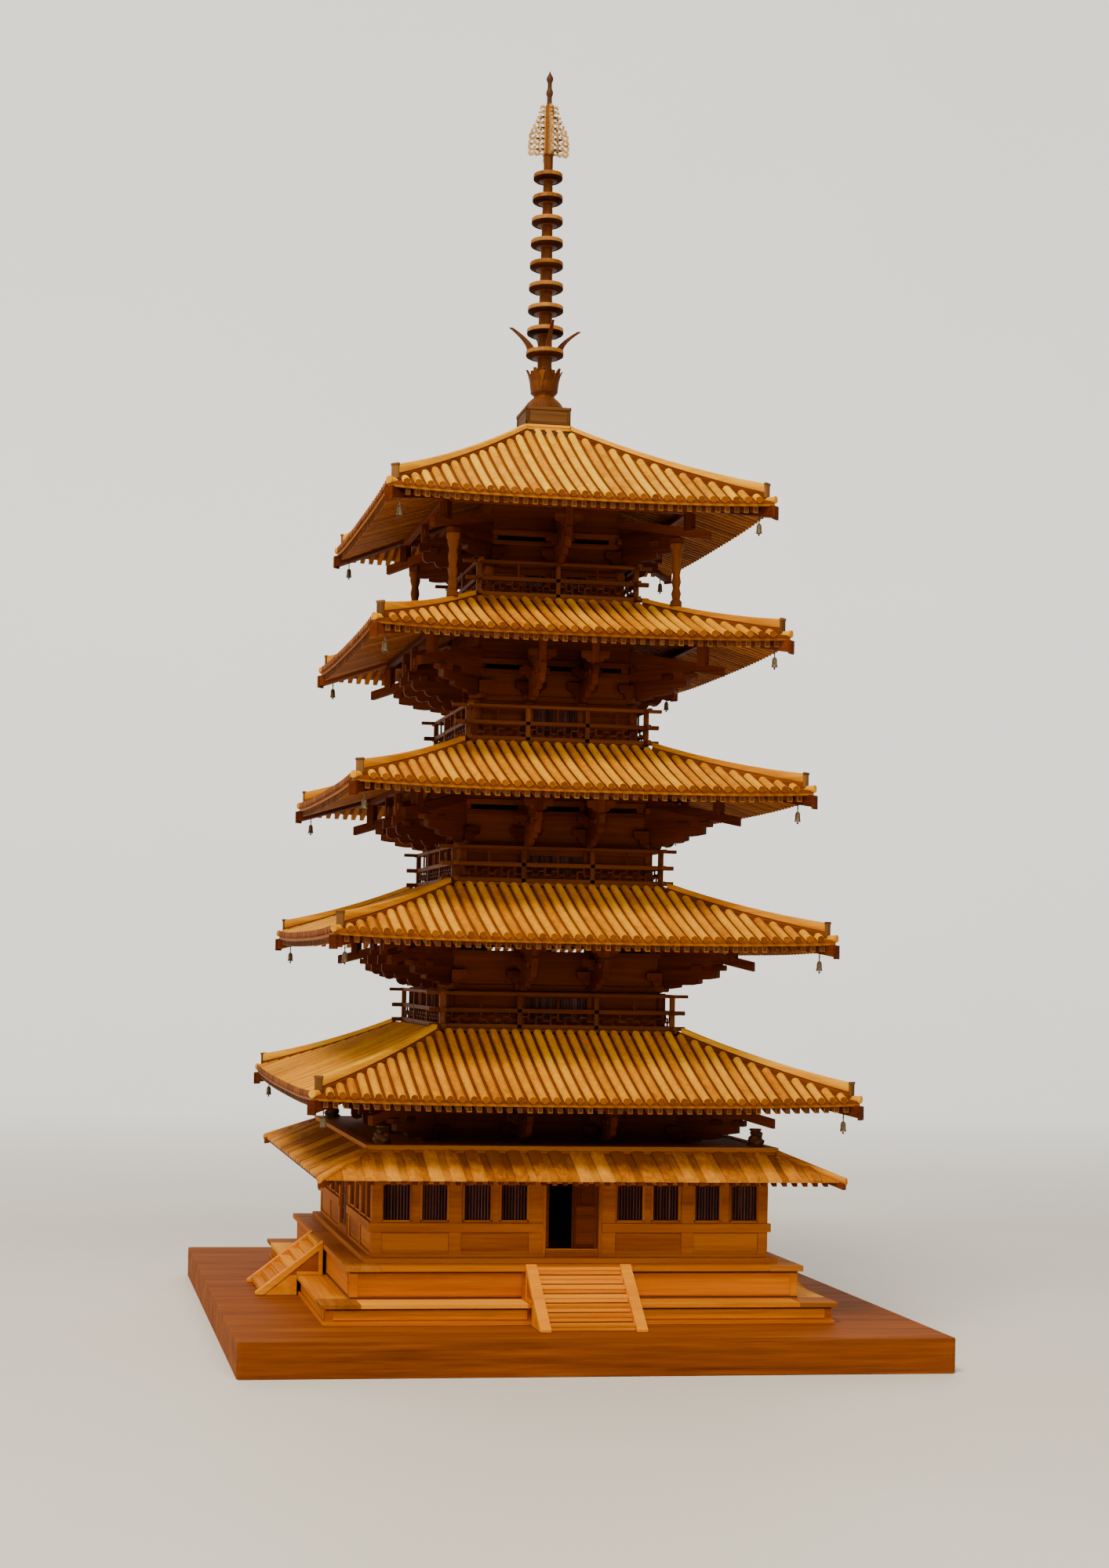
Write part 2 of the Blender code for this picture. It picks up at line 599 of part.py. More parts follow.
def arm_outline(storey, tail_reach):
    """Outline of stacked arms, tail beam and purlin block, as (reach, height) points."""
    wall, base = storey["wall"], storey["wall_top"]
    inner, outer = PURLIN_REACH[0] + LAP, PURLIN_REACH[1] - LAP
    block_top = under_purlin_seat(storey, PURLIN_REACH[1]) - PURLIN_HIGH / 2 - base

    def tail_top(reach):
        return TAIL_HIGH + TAIL_SLOPE * (tail_reach - reach)

    points = list(ARM_LOW)
    points += [(ARM_LOW[-1][0] + LAP, TAIL_LOW + GAP), (tail_reach, TAIL_LOW + GAP),
               (tail_reach, TAIL_HIGH), (outer, tail_top(outer)), (outer, block_top),
               (inner, block_top), (inner, tail_top(inner)), (ARM_LOW[0][0], tail_top(ARM_LOW[0][0]))]
    return [(wall + reach, up(base + height)) for reach, height in points]


def make_brackets(index):
    storey = STOREYS[index]
    wall = storey["wall"]
    bm = bmesh.new()
    add_square_turn(bm, ring_profile(index))
    brackets = finish(f"brackets_{index + 1}", bm, "bracket_wood")
    columns = (0.0,) if index == len(STOREYS) - 1 else (-wall / 3, wall / 3)
    arms = bmesh.new()
    for quarter in range(4):
        side = Matrix.Rotation(quarter * math.pi / 2, 3, "Z")
        corner = Matrix.Rotation((quarter + 0.5) * math.pi / 2, 3, "Z")
        for x in columns:
            outline = [side @ Vector((x - ARM_WIDE / 2, -reach, z))
                       for reach, z in arm_outline(storey, COLUMN_TAIL)]
            add_extrusion(arms, outline, side @ Vector((ARM_WIDE, 0, 0)))
        outline = [corner @ Vector((-TAIL_WIDE / 2, -reach * math.sqrt(2), z))
                   for reach, z in arm_outline(storey, TAIL_REACH)]
        add_extrusion(arms, outline, corner @ Vector((TAIL_WIDE, 0, 0)))
    purlin = bmesh.new()
    top = under_purlin_seat(storey, PURLIN_REACH[1])
    inner, outer = (wall + reach for reach in PURLIN_REACH)
    add_square_turn(purlin, [(inner, top - PURLIN_HIGH), (outer, top - PURLIN_HIGH),
                             (outer, top), (inner, top)])
    join_solids(brackets, [finish(f"arms_{index + 1}", arms, "bracket_wood"),
                           finish(f"purlin_{index + 1}", purlin, "bracket_wood")])


def make_storey_walls(index):
    storey = STOREYS[index]
    wall, top = storey["wall"], storey["wall_top"]
    foot = FLOOR_TOP + GAP
    openings = [(-DOORWAY_HALF, DOORWAY_HALF, DOORWAY_LOW, DOORWAY_HIGH)]
    if index:
        base = STOREYS[index - 1]["top_z"]
        foot = base - TILE_THICK
        middle, half = storey["window"]
        sides = (-1, 1) if middle else (1,)
        openings = [(s * middle - half, s * middle + half, base + WINDOW_ABOVE_ROOF,
                     top - WINDOW_BELOW_TOP) for s in sides]
    bm = bmesh.new()
    add_square_turn(bm, [(wall - WALL_THICK, foot), (wall, foot), (wall, top),
                         (wall - WALL_THICK, top)])
    tube = finish(f"storey_{index + 1}_walls", bm, "wall_wood")
    reach = wall + WALL_THICK
    for quarter in (0, 1):
        boxes = [((x0, -reach, up(z0)), (x1, reach, up(z1))) for x0, x1, z0, z1 in openings]
        cut(tube, window_cutter(f"storey_{index + 1}_cut_{quarter}", boxes, quarter))


def make_roof(index):
    """Rafter layer, tile layer and hip ridges of one roof."""
    storey = STOREYS[index]
    number, eave = index + 1, storey["eave"]
    add_shell(f"eaves_{number}", eave - RAFTER_BACK, storey["wall"] + BRACKET_FACE + GAP,
              lambda reach, along: rafter_height(storey, reach, along),
              RAFTER_THICK, RAFTER_ROWS, ROOF_COLUMNS, "bracket_wood")
    tiles = add_shell(f"roof_{number}", eave, storey["top"],
                      lambda reach, along: roof_height(storey, reach, along),
                      TILE_THICK, ROOF_ROWS, ROOF_COLUMNS, "roof_wood")
    join_solids(tiles, [make_hip(f"hip_{number}_{q}", index, q) for q in range(4)])
    return tiles


def make_props(roof):
    """Posts that stand on a roof's hips and carry the brackets above."""
    bm = bmesh.new()
    low = roof_height(STOREYS[3], PROP_CENTRE, PROP_CENTRE)
    high = STOREYS[4]["wall_top"] + TAIL_LOW
    near, far = PROP_CENTRE - PROP_HALF, PROP_CENTRE + PROP_HALF
    add_box(bm, (near, near, up(low)), (far, far, up(high)))
    quarter_turns(bm, bm.verts[:])
    join_solids(roof, [finish("roof_props", bm, "roof_wood")])


def make_crown(roof):
    bm = bmesh.new()
    add_box(bm, (-CROWN_HALF, -CROWN_HALF, up(STOREYS[4]["top_z"] - TILE_THICK * 0.7)),
            (CROWN_HALF, CROWN_HALF, up(CROWN_TOP)))
    join_solids(roof, [finish("roof_crown", bm, "roof_wood")])


def make_balcony(index):
    """Floor ring, three rails and posts of one storey's balcony, fused into one piece."""
    storey, below = STOREYS[index], STOREYS[index - 1]
    line, base = storey["rail"], below["top_z"] + GAP
    post, half = RAIL_POST / 2, RAIL_SIDE / 2
    inner, outer = storey["wall"] + GAP, line + post + LAP
    floor_top = base + BALCONY_FLOOR_THICK
    bm = bmesh.new()
    add_square_turn(bm, [(inner, base), (outer, base), (outer, floor_top), (inner, floor_top)])
    balcony = finish(f"balcony_{index + 1}", bm, "bracket_wood")
    name = f"balcony_{index + 1}_"
    long_bars, cross_bars, posts = bmesh.new(), bmesh.new(), bmesh.new()
    for level, reach in zip(RAIL_LEVELS, RAIL_REACH):
        end, z = line + reach, up(base + level)
        for sign in (-1, 1):
            middle = sign * line
            add_box(long_bars, (-end, middle - half, z - half), (end, middle + half, z + half))
            add_box(cross_bars, (middle - half, -end, z - half), (middle + half, end, z + half))
    spots = (-1, -1 / 3, 1 / 3, 1) if index < len(STOREYS) - 1 else (-1, 0, 1)
    for i in spots:
        for j in spots:
            if max(abs(i), abs(j)) < 1:
                continue
            top = RAIL_LEVELS[2] if abs(i) == abs(j) == 1 else RAIL_LEVELS[1]
            x, y = i * line, j * line
            add_box(posts, (x - post, y - post, up(base + LAP)), (x + post, y + post, up(base + top)))
    join_solids(balcony, [finish(name + "long", long_bars, "bracket_wood"),
                          finish(name + "cross", cross_bars, "bracket_wood"),
                          finish(name + "posts", posts, "bracket_wood")])


def make_horns():
    """Four curved horns round the shaft, standing on the lowest ring."""
    bm = bmesh.new()
    stations = 4
    base = RING_FIRST + RING_TALL / 2 - LAP
    sections = []
    for i in range(stations + 1):
        t = i / stations
        out = HORN_ROOT + (HORN_REACH - HORN_ROOT) * t ** 1.6
        z = up(base + HORN_RISE * t)
        thick = HORN_HALF[0] * (1 - 0.5 * t)
        wide = HORN_HALF[1] * (1 - 0.6 * t)
        sections.append([(out - thick, -wide, z), (out + thick, -wide, z),
                         (out + thick, wide, z), (out - thick, wide, z)])
    add_sweep(bm, sections)
    quarter_turns(bm, bm.verts[:])
    return finish("spire_horns", bm, "spire_wood")


def make_spire():
    bm = bmesh.new()
    half = SPIRE_BOX_HALF
    add_box(bm, (-half, -half, up(CROWN_TOP + GAP)), (half, half, up(SPIRE_BOX_TOP)))
    finish("spire_box", bm, "spire_wood")

    bm = bmesh.new()
    profile = [(radius, SPIRE_BOX_TOP + z) for radius, z in DOME]
    add_turned(bm, [(0, profile[0][1]), *profile, (0, profile[-1][1])], 16)
    finish("spire_dome", bm, "spire_wood", smooth=True)

    bm = bmesh.new()
    profile = [(0, LOTUS_TOP + GAP), (SHAFT_LOW_RADIUS, LOTUS_TOP + GAP)]
    for ring in range(RING_COUNT):
        t = ring / (RING_COUNT - 1)
        middle = RING_FIRST + (RING_LAST - RING_FIRST) * t
        radius = RING_LOW_RADIUS + (RING_HIGH_RADIUS - RING_LOW_RADIUS) * t
        shaft = SHAFT_LOW_RADIUS + (SHAFT_HIGH_RADIUS - SHAFT_LOW_RADIUS) * t
        half = RING_TALL / 2
        profile.append((shaft, middle - half))
        profile += [(radius * wide, middle + half * tall) for wide, tall in RING_SHAPE]
        profile.append((shaft, middle + half))
    profile += [(SHAFT_HIGH_RADIUS, FLAME_LOW - GAP), (0, FLAME_LOW - GAP)]
    add_turned(bm, profile, 14)
    shaft = finish("spire_rings", bm, "spire_wood")
    join_solids(shaft, [make_horns()])

    bm = bmesh.new()
    core = FLAME_CORE
    add_box(bm, (-core, -core, up(FLAME_LOW)), (core, core, up(FLAME_TOP)))
    flame = finish("spire_flame", bm, "spire_wood")
    span = FLAME_TOP - FLAME_LOW
    edge = [(x * FLAME_HALF, up(FLAME_LOW + span * z)) for x, z in FLAME_EDGE]
    edge += [(-x, z) for x, z in reversed(edge)]
    for axis in (0, 1):
        bm = bmesh.new()
        add_extrusion(bm, [(x, -FLAME_THICK / 2, z) for x, z in edge], (0, FLAME_THICK, 0))
        bm.transform(Matrix.Rotation(axis * math.pi / 2, 4, "Z"))
        join_solids(flame, [finish(f"flame_plate_{axis}", bm, "spire_wood")])

    bm = bmesh.new()
    profile = [(radius, FLAME_TOP + z) for radius, z in JEWELS]
    add_turned(bm, [(0, profile[0][1]), *profile, (0, SPIRE_TIP)], 10)
    finish("spire_jewels", bm, "spire_wood", smooth=True)


def main():
    clear_scene()
    make_base_board()
    make_podiums()
    for quarter, side_name in enumerate(SIDES):
        make_stair(f"stair_{side_name}", quarter)
    make_skirt_walls()
    make_doors()
    make_skirt_roof()
    for index in range(len(STOREYS)):
        make_storey_walls(index)
        make_brackets(index)
        roof = make_roof(index)
        if index == 3:
            make_props(roof)
        if index == 4:
            make_crown(roof)
        if index:
            make_balcony(index)
    make_spire()


main()
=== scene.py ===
# Wooden display model of a five-storey pagoda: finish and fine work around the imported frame.
# Metres, +Z up, front towards -Y, origin under the middle of the base board.
import json
import math
import random

import bmesh
import bpy
from mathutils import Matrix, Vector


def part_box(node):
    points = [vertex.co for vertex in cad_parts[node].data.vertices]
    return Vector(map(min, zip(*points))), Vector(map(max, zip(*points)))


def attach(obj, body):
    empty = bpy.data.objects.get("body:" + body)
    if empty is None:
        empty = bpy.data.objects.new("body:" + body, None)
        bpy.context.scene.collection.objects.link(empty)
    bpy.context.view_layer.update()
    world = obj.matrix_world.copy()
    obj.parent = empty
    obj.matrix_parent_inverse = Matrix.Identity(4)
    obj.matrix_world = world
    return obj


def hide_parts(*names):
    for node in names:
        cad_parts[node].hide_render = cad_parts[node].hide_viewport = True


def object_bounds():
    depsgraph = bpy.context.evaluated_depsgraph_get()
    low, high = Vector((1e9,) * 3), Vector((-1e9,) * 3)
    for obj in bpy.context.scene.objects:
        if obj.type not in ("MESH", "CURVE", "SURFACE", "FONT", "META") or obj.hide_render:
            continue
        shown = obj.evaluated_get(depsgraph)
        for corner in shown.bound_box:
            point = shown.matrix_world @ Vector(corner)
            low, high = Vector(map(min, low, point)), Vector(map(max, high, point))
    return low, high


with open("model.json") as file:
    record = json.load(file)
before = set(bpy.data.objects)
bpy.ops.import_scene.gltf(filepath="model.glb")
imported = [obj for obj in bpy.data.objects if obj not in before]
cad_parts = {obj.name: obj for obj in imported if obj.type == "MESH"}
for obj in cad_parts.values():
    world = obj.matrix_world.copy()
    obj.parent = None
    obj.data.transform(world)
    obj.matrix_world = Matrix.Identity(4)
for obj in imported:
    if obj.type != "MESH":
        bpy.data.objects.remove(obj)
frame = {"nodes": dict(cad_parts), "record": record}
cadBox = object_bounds()
chance = random.Random(11)
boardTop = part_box("base_board")[1].z
root2 = math.sqrt(2)
patterns = []
print("frame loaded")


# Shader writing

class Value:                                     # a socket that can stand in a sum
    def __init__(self, socket):
        self.socket = socket

    def join(self, operation, other, turned=False):
        tree = self.socket.id_data
        node = tree.nodes.new("ShaderNodeMath")
        node.operation = operation
        pair = (other, self) if turned else (self, other)
        for entry, value in zip(node.inputs, pair):
            if isinstance(value, Value):
                tree.links.new(value.socket, entry)
            else:
                entry.default_value = value
        return Value(node.outputs[0])

    def __add__(self, other):
        return self.join("ADD", other)

    def __radd__(self, other):
        return self.join("ADD", other, True)

    def __sub__(self, other):
        return self.join("SUBTRACT", other)

    def __rsub__(self, other):
        return self.join("SUBTRACT", other, True)

    def __mul__(self, other):
        return self.join("MULTIPLY", other)

    def __rmul__(self, other):
        return self.join("MULTIPLY", other, True)

    def __gt__(self, other):
        return self.join("GREATER_THAN", other)


class Nodes:                                     # one material's node tree
    def __init__(self, name):
        self.material = bpy.data.materials.new(name)
        self.material.use_nodes = True
        self.tree = self.material.node_tree
        self.shader = self.tree.nodes["Principled BSDF"]

    def add(self, kind, settings=None, inputs=None, output=0):
        node = self.tree.nodes.new("ShaderNode" + kind)
        for key, value in (settings or {}).items():
            if key == "stops":
                self.setStops(node.color_ramp, value)
            else:
                setattr(node, key, value)
        for key, value in (inputs or {}).items():
            self.plug(node.inputs[key], value)
        return Value(node.outputs[output])

    def split(self, place):                      # the three parts of a place
        apart = self.add("SeparateXYZ", None, {0: place}).socket.node
        return [Value(part) for part in apart.outputs]

    def setStops(self, ramp, stops):
        while len(ramp.elements) < len(stops):
            ramp.elements.new(0.5)
        for element, (position, colour) in zip(ramp.elements, stops):
            element.position = position
            element.color = (*colour, 1.0)

    def plug(self, entry, value):
        if isinstance(value, Value):
            self.tree.links.new(value.socket, entry)
        else:
            entry.default_value = value

    def finish(self, inputs):
        for key, value in inputs.items():
            self.plug(self.shader.inputs[key], value)
        return self.material


# Woods: dark, middle and light colour, width of the grain in metres, roughness, shine
woods = {
    "base_wood": ((0.095, 0.019, 0.001), (0.232, 0.055, 0.002), (0.395, 0.113, 0.006), 0.003, 0.64, 0.03),
    "podium_wood": ((0.33, 0.082, 0.001), (0.54, 0.146, 0.003), (0.69, 0.225, 0.009), 0.0026, 0.62, 0.03),
    "stair_wood": ((0.5, 0.142, 0.003), (0.74, 0.252, 0.005), (0.87, 0.362, 0.011), 0.002, 0.62, 0.02),
    "wall_wood": ((0.26, 0.06, 0.001), (0.4, 0.108, 0.002), (0.52, 0.162, 0.006), 0.002, 0.64, 0.03),
    "upper_wall_wood": (
        (0.085, 0.015, 0.001), (0.14, 0.028, 0.002), (0.205, 0.047, 0.003), 0.002, 0.64, 0.04),
    "rail_wood": ((0.09, 0.022, 0.003), (0.15, 0.04, 0.005), (0.215, 0.066, 0.01), 0.0018, 0.58, 0.06),
    "roof_wood": ((0.45, 0.142, 0.002), (0.68, 0.268, 0.003), (0.875, 0.425, 0.006), 0.0016, 0.54, 0.05),
    "top_roof_wood": ((0.47, 0.172, 0.001), (0.74, 0.345, 0.002), (0.95, 0.55, 0.004), 0.0016, 0.56, 0.03),
    # painted light: paler than the tiles, as lit from above
    "ridge_painted_light_wood": ((0.5, 0.175, 0.004), (0.72, 0.308, 0.007), (0.89, 0.45, 0.014), 0.0016, 0.54, 0.05),
    # painted shade: darker wood for the hollows between the round tiles and under the ridges
    "valley_painted_shade_wood": ((0.11, 0.023, 0.001), (0.17, 0.04, 0.002), (0.235, 0.064, 0.004), 0.0016, 0.6, 0.12),
    "eave_wood": ((0.23, 0.06, 0.002), (0.35, 0.102, 0.003), (0.45, 0.152, 0.007), 0.0018, 0.6, 0.06),
    # painted shade: the tile ends face forward, away from the light above, darker than the tiles
    "tile_end_painted_shade_wood": ((0.14, 0.034, 0.002), (0.22, 0.06, 0.003), (0.3, 0.096, 0.006), 0.0014, 0.6, 0.05),
    "ridge_end_wood": ((0.095, 0.038, 0.009), (0.16, 0.068, 0.017), (0.23, 0.108, 0.03), 0.0014, 0.62, 0.08),
    "skirt_board_wood": ((0.26, 0.068, 0.002), (0.56, 0.195, 0.008), (0.76, 0.33, 0.024), 0.0022, 0.54, 0.08),
    # painted shade: the lower boards lie in the shadow of the upper boards
    "lower_board_painted_shade_wood": ((0.24, 0.062, 0.002), (0.43, 0.138, 0.006), (0.59, 0.232, 0.016), 0.0022, 0.6, 0.05),
    "bracket_wood": ((0.055, 0.009, 0.001), (0.105, 0.019, 0.002), (0.16, 0.034, 0.004), 0.0016, 0.62, 0.06),
    # painted light: a paler copy of the bracket wood, as lit from below
    "rafter_painted_light_wood": ((0.16, 0.044, 0.002), (0.29, 0.09, 0.005), (0.43, 0.155, 0.014), 0.0016, 0.66, 0.04),
    # end grain, darker, with a painted lilac sheen in its colour
    "rafter_end_grain_and_sheen_wood": ((0.056, 0.02, 0.01), (0.088, 0.035, 0.02), (0.13, 0.056, 0.036), 0.0012, 0.62, 0.04),
    # dark bars with a painted lilac sheen in their colour
    "window_bar_dark_and_sheen_wood": (
        (0.055, 0.018, 0.014), (0.105, 0.038, 0.031), (0.175, 0.075, 0.066), 0.0012, 0.52, 0.12),
    "corner_block_wood": (
        (0.245, 0.07, 0.005), (0.38, 0.122, 0.01), (0.51, 0.185, 0.022), 0.0022, 0.64, 0.03),
    "spire_wood": ((0.065, 0.016, 0.002), (0.125, 0.035, 0.005), (0.215, 0.07, 0.012), 0.0014, 0.52, 0.08),
    # painted light on the rings' upper parts and painted shade on their lower parts
    "ring_painted_light_wood": ((0.17, 0.056, 0.007), (0.28, 0.105, 0.015), (0.39, 0.17, 0.034), 0.0014, 0.5, 0.08),
    "ring_painted_shade_wood": (
        (0.016, 0.004, 0.001), (0.032, 0.008, 0.001), (0.06, 0.016, 0.003), 0.0014, 0.66, 0.02),
    "box_wood": ((0.07, 0.028, 0.007), (0.125, 0.053, 0.014), (0.19, 0.086, 0.026), 0.0018, 0.6, 0.05),
    "flame_core_wood": ((0.11, 0.032, 0.004), (0.19, 0.06, 0.008), (0.28, 0.1, 0.016), 0.0014, 0.5, 0.1),
    # pale wood, partly painted light: the glare of the bright backdrop round the thin curls
    "flame_wood": ((0.33, 0.165, 0.048), (0.48, 0.265, 0.092), (0.62, 0.38, 0.15), 0.0014, 0.5, 0.12),
    "plate_wood": ((0.05, 0.016, 0.005), (0.095, 0.034, 0.011), (0.15, 0.06, 0.021), 0.0014, 0.58, 0.16),
}
oneBoard = ("base_wood",)                        # its grain runs from left to right
paintedEaveShadow = {                                         # painted shadow: boards that darken towards their upper end, in the shade of the roof above
    "woods": ("skirt_board_wood", "lower_board_painted_shade_wood"), "from": 0.178, "to": 0.202, "deep": 0.30,
}
# Woods without a slot of their own, each listed with the slot wood that it stands beside
slotNames = {
    "flame_wood": "spire_wood", "flame_core_wood": "spire_wood", "plate_wood": "spire_wood",
    "ring_painted_light_wood": "spire_wood", "ring_painted_shade_wood": "spire_wood", "box_wood": "spire_wood",
    "top_roof_wood": "roof_wood", "ridge_painted_light_wood": "roof_wood", "tile_end_painted_shade_wood": "roof_wood",
    "valley_painted_shade_wood": "roof_wood", "eave_wood": "roof_wood", "ridge_end_wood": "roof_wood",
    "rafter_painted_light_wood": "bracket_wood", "rafter_end_grain_and_sheen_wood": "bracket_wood", "window_bar_dark_and_sheen_wood": "bracket_wood",
    "rail_wood": "bracket_wood", "upper_wall_wood": "wall_wood", "corner_block_wood": "podium_wood",
    "lower_board_painted_shade_wood": "skirt_board_wood",
}


def sidePlace(nodes):                            # frame nodes: grain runs along each of the four sides
    x, y, height = nodes.split(nodes.add("TexCoord", output="Object"))
    absX = nodes.add("Math", {"operation": "ABSOLUTE"}, {0: x})
    absY = nodes.add("Math", {"operation": "ABSOLUTE"}, {0: y})
    onSide = absX > absY
    along = y * onSide + x * (1 - onSide)
    across = x * onSide + y * (1 - onSide)
    return nodes.add("CombineXYZ", None, {0: along, 1: across, 2: height})


def streaks(nodes, place, length, width, detail=3.0):
    scaled = nodes.add("VectorMath", {"operation": "MULTIPLY"},
                       {0: place, 1: (1 / length, 1 / width, 1 / width)})
    return nodes.add("TexNoise", None, {"Vector": scaled, "Scale": 1.0, "Detail": detail,
                                        "Roughness": 0.55, "Distortion": 0.15})


def woodLook(name, ownGrain):
    dark, middle, light, width, roughness, shine = woods[name]
    nodes = Nodes(name + ("_pieces" if ownGrain else ""))
    tone = 0.5
    if ownGrain:
        place = nodes.add("Attribute", {"attribute_name": "grain"}, output="Vector")
        tone = nodes.add("Attribute", {"attribute_name": "tone"}, output="Fac")
    elif name in oneBoard:
        place = nodes.add("TexCoord", output="Object")
    else:
        place = sidePlace(nodes)
    broad = streaks(nodes, place, width * 160, width * 9)
    medium = streaks(nodes, place, width * 45, width * 1.6)
    fine = streaks(nodes, place, width * 14, width * 0.35, 2.0)
    mixed = broad * 0.42 + medium * 0.40 + fine * 0.18 + (tone * 0.30 - 0.15)
    # Painted shadow: the skirt roof's boards darken with height, under the first roof's eave
    if name in paintedEaveShadow["woods"]:
        height = nodes.split(nodes.add("TexCoord", output="Object"))[2]
        mixed = mixed - nodes.add("MapRange", None, {
            "Value": height, "From Min": paintedEaveShadow["from"], "From Max": paintedEaveShadow["to"],
            "To Min": 0.0, "To Max": paintedEaveShadow["deep"]})
    colour = nodes.add("ValToRGB", {"stops": ((0.30, dark), (0.50, middle), (0.72, light))}, {0: mixed})
    relief = medium * 0.5 + fine * 0.5
    bump = nodes.add("Bump", None, {"Strength": 0.16, "Distance": 0.0004, "Height": relief})
    rough = nodes.add("MapRange", None, {"Value": fine, "From Min": 0.3, "From Max": 0.7,
                                         "To Min": roughness + 0.07, "To Max": roughness - 0.06})
    return nodes.finish({"Base Color": colour, "Roughness": rough, "Normal": bump,
                         "Specular IOR Level": shine})


def brassLook():
    nodes = Nodes("bell_brass")
    tarnish = nodes.add("TexNoise", None, {"Vector": nodes.add("TexCoord", output="Object"),
                                           "Scale": 420.0, "Detail": 3.0})
    stops = ((0.3, (0.06, 0.04, 0.015)), (0.7, (0.20, 0.145, 0.07)))
    return nodes.finish({
        "Base Color": nodes.add("ValToRGB", {"stops": stops}, {0: tarnish}), "Metallic": 0.45,
        "Roughness": nodes.add("MapRange", None, {"Value": tarnish, "To Min": 0.42, "To Max": 0.66})})


looks = {name: woodLook(name, True) for name in woods}
looks["bell_brass"] = brassLook()
frameLooks = {name: woodLook(name, False) for name in woods
              if name not in slotNames or name in ("upper_wall_wood", "box_wood")}
print("woods and brass ready")


# Mesh helpers

def newMesh():
    bm = bmesh.new()
    bm.verts.layers.float_vector.new("grain")
    bm.verts.layers.float.new("tone")
    return bm


def grainAlong(bm, verts, axis):                 # the wood's grain runs along this axis of the board
    grain = bm.verts.layers.float_vector["grain"]
    tone = bm.verts.layers.float["tone"]
    shift = Vector([chance.uniform(0.0, 3.0) for _ in range(3)])
    shade = chance.random()
    for v in verts:
        v[grain] = shift + Vector((v.co[axis], v.co[(axis + 1) % 3], v.co[(axis + 2) % 3]))
        v[tone] = shade


def addBar(bm, first, second, chamfer=0.0, axis=None):     # a bar between two opposite corners
    low, high = (Vector([pick(pair) for pair in zip(first, second)]) for pick in (min, max))
    size = high - low
    verts = bmesh.ops.create_cube(bm, size=1.0)["verts"]
    bmesh.ops.scale(bm, vec=size, verts=verts)
    bmesh.ops.translate(bm, vec=(low + high) / 2, verts=verts)
    if chamfer:
        edges = list({e for v in verts for e in v.link_edges})
        made = bmesh.ops.bevel(bm, geom=edges, offset=chamfer, segments=1, profile=0.5,
                               affect="EDGES", material=-1)
        verts = list({v for f in made["faces"] for v in f.verts})
    grainAlong(bm, verts, max(range(3), key=lambda i: size[i]) if axis is None else axis)
    return verts


def addRaised(bm, first, second, chamfer=0.0):   # the same with heights above the base board
    corners = [(x, y, boardTop + z) for x, y, z in (first, second)]
    return addBar(bm, *corners, chamfer)


def addPost(bm, x, y, half, low, high, chamfer=0.0):       # a square upright bar round a line
    return addBar(bm, (x - half, y - half, low), (x + half, y + half, high), chamfer)


def blend(start, end, share):
    return start + (end - start) * share


def pointsOf(made):                              # the vertices among what a mesh operator made
    return [part for part in made["geom"] if isinstance(part, bmesh.types.BMVert)]


def turn(bm, verts, degrees, centre=(0, 0, 0), axis="Z"):
    bmesh.ops.rotate(bm, cent=centre, verts=verts, matrix=Matrix.Rotation(math.radians(degrees), 3, axis))


def turnFour(bm, verts=None):                    # the same work on the other three sides
    geom = set(verts or bm.verts)
    for v in list(geom):
        geom.update(v.link_edges)
        geom.update(v.link_faces)
    for side in (1, 2, 3):
        turn(bm, pointsOf(bmesh.ops.duplicate(bm, geom=list(geom))), 90 * side)


def longEdges(bm):
    return [e for e in bm.edges if abs(e.verts[0].co.y - e.verts[1].co.y) > 0.5]


def keepPattern(bm, rows):                       # divided along its length and kept for copies
    if rows > 1:
        bmesh.ops.subdivide_edges(bm, edges=longEdges(bm), cuts=rows - 1, use_grid_fill=True)
    for v in bm.verts:
        v.co.y = min(1.0, max(0.0, v.co.y))
    mesh = bpy.data.meshes.new("pattern")
    bm.to_mesh(mesh)
    bm.free()
    patterns.append(mesh)
    return mesh


def rodPattern(sides, rows=1):                   # round rod along Y from 0 to 1, radius 1
    bm = bmesh.new()
    bmesh.ops.create_cone(bm, cap_ends=True, cap_tris=False, segments=sides, radius1=1, radius2=1, depth=1)
    turn(bm, bm.verts, 90, axis="X")
    bmesh.ops.translate(bm, vec=(0, 0.5, 0), verts=bm.verts)
    return keepPattern(bm, rows)


def barPattern(rows=1, chamfer=0.0):             # square bar along Y from 0 to 1, side 1
    bm = bmesh.new()
    bmesh.ops.create_cube(bm, size=1.0)
    bmesh.ops.translate(bm, vec=(0, 0.5, 0), verts=bm.verts)
    if chamfer:
        bmesh.ops.bevel(bm, geom=longEdges(bm), offset=chamfer, segments=1, profile=0.5,
                        affect="EDGES", material=-1)
    return keepPattern(bm, rows)


def addCopy(bm, pattern, place, axis=1):         # a copy of a pattern with every point put in place
    before = set(bm.verts)
    bm.from_mesh(pattern)
    verts = [v for v in bm.verts if v not in before]
    for v in verts:
        v.co = place(v.co)
    grainAlong(bm, verts, axis)
    return verts


def addSheet(bm, columns, rows, place, thick, axis=0):     # a bent board whose upper face follows place
    verts = bmesh.ops.create_grid(bm, x_segments=columns, y_segments=rows, size=0.5)["verts"]
    for v in verts:
        v.co = place(v.co.x + 0.5, v.co.y + 0.5)
    faces = list({f for v in verts for f in v.link_faces})
    lower = pointsOf(bmesh.ops.extrude_face_region(bm, geom=faces))
    bmesh.ops.translate(bm, vec=(0, 0, -thick), verts=lower)
    grainAlong(bm, verts + lower, axis)
    return verts + lower


